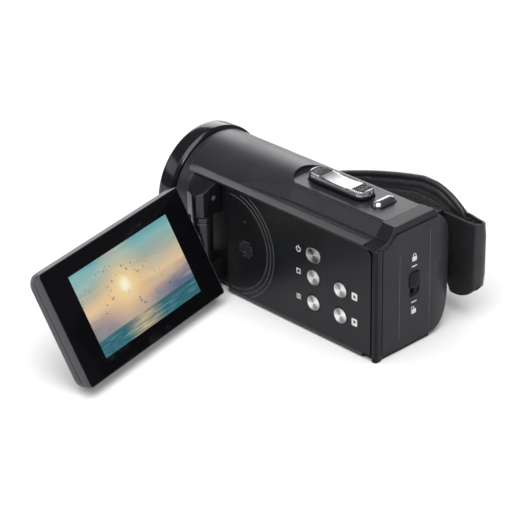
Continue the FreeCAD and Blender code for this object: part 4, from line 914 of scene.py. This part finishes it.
def make_screen():
    """The panel: a moulded back, a rim split from it by a seam, black glass and the picture."""
    low, high = local_span("screen_rear_shell")
    wide, tall = high.x - low.x, high.z - low.z
    cx, cz = (low.x + high.x) / 2, (low.z + high.z) / 2
    back, front = low.y, local_span("screen_front_frame")[1].y
    hinge_corner, least_corner = 0.8, 0.3

    def ring(inset, y, free):
        """The panel's outline, with a corner radius for its free end."""
        shape = rounded(wide - 2 * inset, tall - 2 * inset, max(least_corner, free - inset),
                        left=hinge_corner)
        return [(cx + x, y, cz + z) for x, z in shape]

    def shell(name, levels, node, slot, sharp, caps=(True, True)):
        piece(name, *skin(levels, caps=caps), slot, body="screen", nodes=(node,), matrix=SCREEN, sharp=sharp)

    rear = [(3.4, back, 6.5), (1.6, back + 0.1, 6.0), (0.75, back + 0.42, 5.6), (0.22, back + 1.05, 5.2),
            (0.0, back + 1.9, 5.0), (0.0, -1.4, 4.4), (0.0, -0.3, 3.6), (0.12, -0.12, 3.4), (0.5, -0.1, 3.3)]
    shell("screen_back", [ring(*level) for level in rear], "screen_rear_shell", "screen_shell", 28)
    rim = [(0.5, -0.1, 3.3), (0.5, 0.1, 3.2), (0.1, 0.12, 3.2), (0.0, 0.28, 3.1), (0.0, 1.5, 2.4),
           (0.0, front - 0.3, 1.7), (0.1, front - 0.1, 1.6), (0.28, front, 1.5), (0.36, front, 1.5),
           (0.4, front - 0.3, 1.5), (0.8, front - 0.35, 1.5)]
    shell("screen_rim", [ring(*level) for level in rim], "screen_front_frame", "screen_shell", 28,
          (True, False))
    seen_low, seen_high = local_span("screen_display")
    margin = 2.0
    left, right = seen_low.x + margin, seen_high.x - margin
    bottom, top = seen_low.z + margin, seen_high.z - margin
    vx, vz = (left + right) / 2, (bottom + top) / 2
    edge_zone = 3.0  # outline points this near an edge go to the picture's edge

    def window_ring(grow, y):
        """The outline's points drawn in to the picture's rectangle."""
        spots = []
        for x, _, z in ring(1.0, y, 1.5):
            sx = max(-1.0, min(1.0, (x - cx) / (wide / 2 - edge_zone)))
            sz = max(-1.0, min(1.0, (z - cz) / (tall / 2 - edge_zone)))
            spots.append((vx + sx * ((right - left) / 2 + grow), y, vz + sz * ((top - bottom) / 2 + grow)))
        return spots

    rings = [ring(0.42, front - 0.5, 1.5), ring(0.42, front - 0.08, 1.5), ring(0.5, front - 0.01, 1.5),
             ring(0.75, front, 1.5), window_ring(0.06, front), window_ring(0.0, front - 0.05),
             window_ring(0.0, front - 0.3)]
    shell("screen_window", rings, "screen_glass", "screen_glass", 30, (False, False))
    across, up = 24, 14
    uvs = [(column / across, row / up) for row in range(up + 1) for column in range(across + 1)]
    points = [(right + (left - right) * u, front - 0.12, bottom + (top - bottom) * v) for u, v in uvs]
    corners = [row * (across + 1) + column for row in range(up) for column in range(across)]
    faces = [(a, a + 1, a + across + 2, a + across + 1) for a in corners]
    piece("screen_picture", points, faces, "display", body="screen", nodes=("screen_display",),
          matrix=SCREEN, uvs=uvs)


# ---------------------------------------------------------------- hinge

def make_hinge_hood():
    """The block over the hinge: a sloping roof, facets round the hinge's pin and fine bevels."""
    low, high = box_mm("hinge_ear_upper")
    x, y = HINGE.x / MM, HINGE.y / MM
    inset, roof_start, slope = 0.02, 23.4, 3.68
    tip, front, rear = high.x - inset, low.y, high.y - inset
    plan = [(low.x, front), (roof_start, front), (x - 2.9, front), (x + 4.2, y - 4.2), (tip, y - 0.3),
            (tip, y + 2.1), (x + 2.9, rear), (roof_start, rear), (low.x, rear)]

    def roof(across):
        return high.z - inset - slope * max(0.0, (across - roof_start) / (tip - roof_start))

    points, faces = skin([[(a, b, low.z) for a, b in plan], [(a, b, roof(a)) for a, b in plan]],
                         caps=(True, False))
    count = len(plan)
    faces += [(count, count + 1, count + 7, count + 8), tuple(range(count + 1, count + 8))]
    mesh = mesh_mm("hinge_hood", points, faces)
    shape = bmesh.new()
    shape.from_mesh(mesh)
    bmesh.ops.recalc_face_normals(shape, faces=shape.faces)
    edges = [edge for edge in shape.edges if edge.calc_face_angle(0) > math.radians(12)]
    bmesh.ops.bevel(shape, geom=edges, offset=0.22 * MM, segments=2, profile=0.6, affect="EDGES")
    shape.to_mesh(mesh)
    shape.free()
    dress(mesh, "hinge_hood", "gloss_plastic", BODY, ("hinge_ear_upper",), sharp=20)


def make_hinge_block():
    """The turning block: a barrel with two shallow grooves and two small screws."""
    low, high = box_mm("hinge_swivel")
    centre = HINGE / MM
    radius = high.x - centre.x
    profile = [(low.z, 0.2), (low.z, radius - 0.5), (low.z + 0.18, radius - 0.14), (low.z + 0.5, radius),
               (low.z + 2.2, radius), (low.z + 2.4, radius - 0.18), (low.z + 2.8, radius - 0.18),
               (low.z + 3.0, radius), (high.z - 3.4, radius), (high.z - 3.2, radius - 0.22),
               (high.z - 2.7, radius - 0.22), (high.z - 2.5, radius), (high.z - 0.5, radius),
               (high.z - 0.16, radius - 0.14), (high.z, radius - 0.5), (high.z, 0.2)]
    parts = [skin(turned(profile, centre, "Z", 72))]
    facing = math.radians(48)
    away = Vector((math.cos(facing), math.sin(facing), 0))
    level = Vector((-away.y, away.x, 0))
    upright = Vector((0, 0, 1))
    head = ((1.0, -0.5), (1.0, -0.02), (0.86, 0.0), (0.5, 0.0), (0.42, -0.12), (0.05, -0.14))
    for rise in (high.z - 6.6, low.z + 6.2):
        middle = Vector((centre.x, centre.y, rise))
        parts.append(skin([[middle + away * (radius + out) + (level * c + upright * s) * size
                            for c, s in circle(16)] for size, out in head]))
    piece("hinge_block", *merge(parts), "gloss_plastic", body="hinge_swivel", nodes=("hinge_swivel",),
          sharp=26)


def make_hood_screw():
    """A small domed screw with a sunk middle, in the hood's rear face."""
    face = box_mm("hinge_ear_upper")[1].y
    from_hinge, height = 2.9, 43.4
    centre = (HINGE.x / MM - from_hinge, face, height)
    profile = [(face - 0.4, 1.15), (face + 0.02, 1.15), (face + 0.12, 1.0), (face + 0.16, 0.55),
               (face + 0.03, 0.42), (face + 0.02, 0.05)]
    piece("hood_screw", *skin(turned(profile, centre, "Y", 32)), "hardware", material=PALE_TRIM_AND_HIGHLIGHT, sharp=30)


# ---------------------------------------------------------------- side panel lines

def make_side_ridges():
    """Fine pressed rings about the speaker, the rims of its holes and the microphone's mark."""
    low, high = box_mm("side_panel")
    y, z = -24.0, 26.0  # the rings' middle
    reach = min(high.z - z, z - low.z) - 0.5
    on_side = facing_out(high.x - 0.02)
    parts = []
    for radius in (22.02, 23.97, 25.92):
        turn = math.asin(min(1.0, reach / radius))
        for outer, inner, proud in ((0.17, -0.12, 0.14), (-0.42, -0.55, 0.09)):
            parts.append(hoop(radius + outer, radius + inner, -turn, turn, on_side, y, z, 90, proud))
    middle = middle_mm("speaker")
    pitch = 1.6
    holes = [(row, column) for row in range(-2, 3) for column in range(-2, 3)
             if abs(row) + abs(column) < 4]
    for row, column in holes:
        parts.append(hoop(0.62, 0.47, 0, FULL, on_side, middle.y + pitch * column,
                          middle.z + pitch * row, 16, 0.07))
    parts.append(hoop(0.55, 0.3, 0, FULL, on_side, middle.y - 0.2, 37.6, 16, 0.08))
    # The rings and rims take a paler grey than the panel: a painted highlight along their edges.
    piece("side_ridges", *merge(parts), "side_plastic", material=PALE_TRIM_AND_HIGHLIGHT, sharp=40)


# ---------------------------------------------------------------- strap

PAD_LOW, PAD_HIGH = box_mm("strap_pad")
SEAM = 4.4  # how far inside the pad's edge its seam runs
PUFF = 1.1  # the most that the cloth simulation may move the pad's surface


def pad_edges(y):
    """Lowest and highest edge of the pad's leaf shape at a place along it."""
    middle = (PAD_LOW.z + PAD_HIGH.z) / 2
    span = (PAD_HIGH.z - PAD_LOW.z) / 2
    front, widest, rear = PAD_LOW.y, 28.0, PAD_HIGH.y
    front_half, rear_half = 9.8, 14.3
    if y < widest:
        share = max(0.0, (y - front) / (widest - front))
        half = front_half + (span - front_half) * share + 0.8 * 4 * share * (1 - share)
    else:
        share = min(1.0, (y - widest) / (rear - widest))
        half = span + (rear_half - span) * share + 2.9 * 4 * share * (1 - share)
    return middle - min(half, span), middle + min(half, span)


def limit_moves(mesh, before, most):
    """Keep every point of a mesh within a distance of where it was."""
    for vertex, start in zip(mesh.vertices, before):
        move = vertex.co - start
        if move.length > most:
            vertex.co = start + move.normalized() * most


def make_pad():
    """The hand pad: its foam pushed out by a short cloth simulation, then grooved along its seam."""
    mesh = frame["nodes"]["strap_pad"].data.copy()
    mesh.name = "hand_pad"
    middle = (PAD_LOW + PAD_HIGH) / 2 * MM
    for vertex in mesh.vertices:
        vertex.co.y = middle.y + (vertex.co.y - middle.y) * 0.985
        vertex.co.z = middle.z + (vertex.co.z - middle.z) * 0.965
    item = put("hand_pad", mesh)
    bpy.context.view_layer.objects.active = item
    remesh = item.modifiers.new("remesh", "REMESH")
    remesh.mode = "VOXEL"
    remesh.voxel_size = 0.0015
    settle(item)
    before = [vertex.co.copy() for vertex in item.data.vertices]
    settings = item.modifiers.new("cloth", "CLOTH").settings
    settings.quality = 6
    settings.mass = 0.3
    settings.tension_stiffness = settings.compression_stiffness = 12
    settings.bending_stiffness = 0.6
    settings.use_pressure = True
    settings.uniform_pressure_force = 4
    settings.effector_weights.gravity = 0
    for number in range(1, 21):
        bpy.context.scene.frame_set(number)
    settle(item)
    bpy.context.scene.frame_set(1)
    limit_moves(item.data, before, PUFF * MM)
    smooth = item.modifiers.new("smooth", "SMOOTH")
    smooth.factor = 0.5
    smooth.iterations = 6
    finer = item.modifiers.new("finer", "SUBSURF")
    finer.levels = 1
    settle(item)
    thin_pad(item.data)
    dress_pad(item)
    return item


def settle(item):
    """Apply every modifier of an object to its mesh."""
    graph = bpy.context.evaluated_depsgraph_get()
    graph.update()
    mesh = bpy.data.meshes.new_from_object(item.evaluated_get(graph))
    item.modifiers.clear()
    old = item.data
    item.data = mesh
    bpy.data.meshes.remove(old)


def seam_depth(y, z):
    """How far inside the pad's edge a place is, in millimetres."""
    low, high = pad_edges(y)
    ends = min(y - PAD_LOW.y, PAD_HIGH.y - y)
    return min(z - low, high - z, ends)


def pad_middle(y):
    """Middle of the pad's thickness at a place along it, bowed outwards."""
    share = (y - PAD_LOW.y) / (PAD_HIGH.y - PAD_LOW.y)
    front, rear, bow = -35.7, -37.9, 3.0
    return front + (rear - front) * share - bow * 4 * share * (1 - share)


def thin_pad(mesh):
    """Press a groove along the seam, and draw the rim in to a thin edge."""
    for vertex in mesh.vertices:
        x, y, z = vertex.co / MM
        depth = seam_depth(y, z)
        side = x - pad_middle(y)
        groove = 0.5 * math.exp(-((depth - SEAM) / 0.9) ** 2)
        rim = 0.66 if depth < 0 else 0.66 + 0.34 * min(1.0, depth / 4.0) ** 0.7
        vertex.co.x = (pad_middle(y) + side * rim - math.copysign(groove, side)) * MM


def lay_uvs(mesh):
    """UVs in metres along and up the strap, for woven and grained finishes."""
    layer = mesh.uv_layers.new(name="UVMap")
    for loop in mesh.loops:
        layer.data[loop.index].uv = mesh.vertices[loop.vertex_index].co.yz


def dress_pad(item):
    """Give the pad its finish, its body and its softness."""
    mesh = item.data
    lay_uvs(mesh)
    for face in mesh.polygons:
        face.use_smooth = True
    mesh.materials.clear()
    mesh.materials.append(MATERIALS["strap_leather"])
    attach(item, BODY)
    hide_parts("strap_pad")


def pad_loop(inset):
    """Points (y, z) round the pad at a distance inside its edge, with softened corners."""
    front, rear = PAD_LOW.y + inset, PAD_HIGH.y - inset
    half, corner, spacing = 75, 2.4, 1.2
    top, bottom = [], []
    for step in range(half + 1):
        share = 0.5 - 0.5 * math.cos(math.pi * step / half)
        y = front + (rear - front) * share
        low, high = pad_edges(y)
        ends = min(y - front, rear - y)
        soft = corner * max(0.0, 1 - ends / corner) ** 2
        top.append((y, high - inset - soft))
        bottom.append((y, low + inset + soft))
    loop = bottom + top[::-1]
    spaced = []
    for index, spot in enumerate(loop):
        after = loop[(index + 1) % len(loop)]
        parts = max(1, int(math.dist(spot, after) / spacing))
        spaced += [tuple(a + (b - a) * k / parts for a, b in zip(spot, after)) for k in range(parts)]
    return spaced


def stitches(spots, outs):
    """Short threads lying along a line of points, each one bent into its surface at both ends."""
    length, gap, size = 2.3, 1.1, 0.24
    share = length / (length + gap)
    parts = []
    travelled, start = 0.0, 0
    for index in range(1, len(spots)):
        travelled += (Vector(spots[index]) - Vector(spots[index - 1])).length
        if travelled < length + gap:
            continue
        a, b = Vector(spots[start]), Vector(spots[index])
        out = Vector(outs[start]).normalized()
        path = [a + (b - a) * share * k / 6 for k in range(7)]
        arched = [spot + out * size * (math.sin(math.pi * k / 6) * 1.1 - 0.35)
                  for k, spot in enumerate(path)]
        parts.append(tube(arched, size, 6))
        travelled, start = 0.0, index
    return parts


def make_pad_trim(pad):
    """Piped edge, stitches and the knitted lining of the hand pad."""
    tree = surface_of(pad.data)

    def on_pad(y, z, side, lift):
        """A spot on the pad's outside (-1) or inside (1), lifted off it."""
        hit = tree.ray_cast(Vector((-75 if side < 0 else 10, y, z)) * MM, Vector((-side, 0, 0)))
        x = hit[0].x / MM if hit[0] else pad_middle(y)
        return Vector((x + side * lift, y, z))

    path = [(pad_middle(y) + 0.3, y, z) for y, z in pad_loop(1.0)]
    mesh = mesh_mm("pad_piping", *tube(path, 1.45, 14, closed=True))
    lay_uvs(mesh)
    dress(mesh, "pad_piping", "strap_leather", BODY)
    loop = pad_loop(SEAM)
    spots = [on_pad(y, z, -1, 0.0) for y, z in loop + loop[:1]]
    threads = stitches(spots, [(-1, 0, 0)] * len(spots))
    piece("pad_stitches", *merge(threads), "strap_leather", material=THREAD, sharp=60)
    rows, columns, margin = 26, 60, 5.6
    sheet = []
    for column in range(columns + 1):
        y = PAD_LOW.y + margin + (PAD_HIGH.y - PAD_LOW.y - 2 * margin) * column / columns
        low, high = pad_edges(y)
        ring = []
        for row in range(rows + 1):
            z = low + margin + (high - low - 2 * margin) * row / rows
            edge = min(row, rows - row, column, columns - column) == 0
            ring.append(on_pad(y, z, 1, -0.1 if edge else 0.28))
        sheet.append(ring)
    points, faces = skin(sheet, wrap=False, caps=(False, False))
    piece("pad_lining", points, faces, "strap_fabric", sharp=60,
          uvs=[(point[1] * MM, point[2] * MM) for point in points])


def sweep_band(name, path, bottom, top, node):
    """A flat leatherette band along a path in plan, with rolled edges and two stitched seams."""
    spots = [Vector((x, y, 0)) for x, y in path]
    half_thick, seam = 0.92, 2.1
    rings, uvs, sides, travelled = [], [], [], 0.0
    levels = [(0.25, 0.45), (0.0, 0.7), (0.25, 0.95), (0.8, 1.0), (1.7, 1.0), (seam, 0.8), (2.5, 1.0)]
    for index, spot in enumerate(spots):
        before, after = spots[max(index - 1, 0)], spots[min(index + 1, len(spots) - 1)]
        run = (after - before).normalized()
        out = Vector((run.y, -run.x, 0))
        if index:
            travelled += (spot - spots[index - 1]).length
        low, high = bottom(spot.y), top(spot.y)
        rise = high - low
        edge = [(low + a, b) for a, b in levels] + [(low + rise * k / 6, 1.04) for k in range(1, 6)]
        edge += [(high - a, b) for a, b in levels[::-1]]
        edge += [(high - 0.4 - (rise - 0.8) * k / 5, -0.5 if k in (0, 5) else -1.0) for k in range(6)]
        ring = [spot + out * half_thick * b + Vector((0, 0, z)) for z, b in edge]
        rings.append(ring)
        uvs += [(travelled * MM, point.z * MM) for point in ring]
        sides.append((spot + out * half_thick * 0.86, out, low + seam, high - seam))
    piece(name, *skin(rings), "strap_leather", nodes=(node,), sharp=70, uvs=uvs)
    threads = []
    for place in (2, 3):
        line = [side[0] + Vector((0, 0, side[place])) for side in sides]
        threads += stitches(line, [side[1] for side in sides])
    piece(name + "_stitches", *merge(threads), "strap_leather", material=THREAD, sharp=60)


def loop_path(centre, radius, start, end, steps):
    """Points on an arc in plan, angles in degrees."""
    angles = [math.radians(start + (end - start) * k / steps) for k in range(steps + 1)]
    return [(centre[0] + radius * math.cos(a), centre[1] + radius * math.sin(a)) for a in angles]


def smooth_path(corners):
    """A curve near corner points, rounded and evenly spaced."""
    spacing = 0.9
    points = [Vector((x, y, 0)) for x, y in corners]
    for _ in range(3):
        finer = [points[0]]
        for a, b in zip(points, points[1:]):
            finer += [a * 0.75 + b * 0.25, a * 0.25 + b * 0.75]
        points = finer + [points[-1]]
    spaced = [points[0]]
    for point in points[1:]:
        while (point - spaced[-1]).length > spacing:
            spaced.append(spaced[-1] + (point - spaced[-1]).normalized() * spacing)
    return [(point.x, point.y) for point in spaced + [points[-1]]]


def make_bands():
    """The leader at the front lug, and the rear band that folds over behind the body."""
    reach, bar_front, bar_rear = -30.2, -39.0, 44.0  # where the lugs' bars stand
    fold = 2.45  # radius of a fold, to the middle of the band
    front, rear = box_mm("strap_band_front"), box_mm("strap_band_rear")
    start = (pad_middle(PAD_LOW.y) - 0.4, PAD_LOW.y + 4.0)
    ring = loop_path((reach, bar_front), fold, 40, -180, 16)
    path = ring + smooth_path([(reach - fold, bar_front), (reach - fold - 0.5, bar_front + 3),
                               (start[0] + 1.2, PAD_LOW.y - 4), start])[1:]
    sweep_band("front_band", path[::-1], lambda y: front[0].z, lambda y: front[1].z, "strap_band_front")
    end = (pad_middle(PAD_HIGH.y) - 0.9, PAD_HIGH.y - 4.0)
    corner, tail, shallow = 13.0, rear[1].y, 13.9
    drop_start, drop_length = 47.6, 3.4

    def bottom(y):
        """The rear band's lower edge: it widens downwards, then rounds off at its tail."""
        over = max(0.0, y - (tail - corner))
        drop = min(1.0, max(0.0, (y - drop_start) / drop_length))
        flat = shallow + (rear[0].z - shallow) * drop * drop * (3 - 2 * drop)
        return flat + corner - math.sqrt(max(0.0, corner ** 2 - min(over, corner) ** 2))

    middle = (-35.0, tail - fold - 0.95)
    inner = smooth_path([(reach - fold, bar_rear), (reach - fold - 0.1, bar_rear + 6),
                         (middle[0] + fold + 0.3, middle[1] - 4), (middle[0] + fold, middle[1])])
    turn = loop_path(middle, fold, 0, 180, 16)
    outer = smooth_path([(middle[0] - fold, middle[1]), (middle[0] - fold - 0.6, middle[1] - 4),
                         (end[0] - 0.3, end[1] + 5), end])
    path = loop_path((reach, bar_rear), fold, -40, -180, 14) + inner[1:] + turn[1:] + outer[1:]
    sweep_band("rear_band", path[::-1], bottom, lambda y: rear[1].z, "strap_band_rear")


def make_lugs():
    """Pressed metal lugs: two bevelled ears and the bar between them."""
    for node in ("strap_lug_front", "strap_lug_rear"):
        low, high = box_mm(node)
        cy = (low.y + high.y) / 2
        left, right = low.x, -24.6  # the ears end inside the shell
        cx, wide, deep = (left + right) / 2, right - left, high.y - low.y
        corner, thick = 2.2, 1.3

        def outline(inset):
            return rounded(wide - 2 * inset, deep - 2 * inset, corner - inset)

        def lift(x, y, z):
            return cx + x, cy + y, z

        parts = []
        for base in (low.z, high.z - thick):
            levels = [(0.25, base), (0.0, base + 0.22), (0.0, base + 1.08), (0.25, base + thick)]
            parts.append(stack(outline, levels, lift))
        bar_x = left + 2.4
        profile = [(low.z + 0.9, 1.05), (low.z + 1.3, 1.05), (low.z + 1.5, 0.95), (high.z - 1.5, 0.95),
                   (high.z - 1.3, 1.05), (high.z - 0.9, 1.05)]
        parts.append(skin(turned(profile, (bar_x, cy, 0), "Z", 24)))
        piece(node.replace("strap_lug", "lug"), *merge(parts), "hardware", nodes=(node,),
              material=BLACK_STEEL, sharp=30)


make_hood()
make_front_ring()
make_rocker()
make_photo_key()
bezels = [make_side_key(name + "_button") for name in ("power", "mode", "menu", "up", "down")]
piece("key_rims", *merge(bezels), "side_plastic", sharp=40)
make_side_prints()
make_door_marks()
make_lock_knob()
make_rear_flange()
make_screen()
make_hinge_hood()
make_hinge_block()
make_hood_screw()
make_side_ridges()
make_pad_trim(make_pad())
make_bands()
make_lugs()
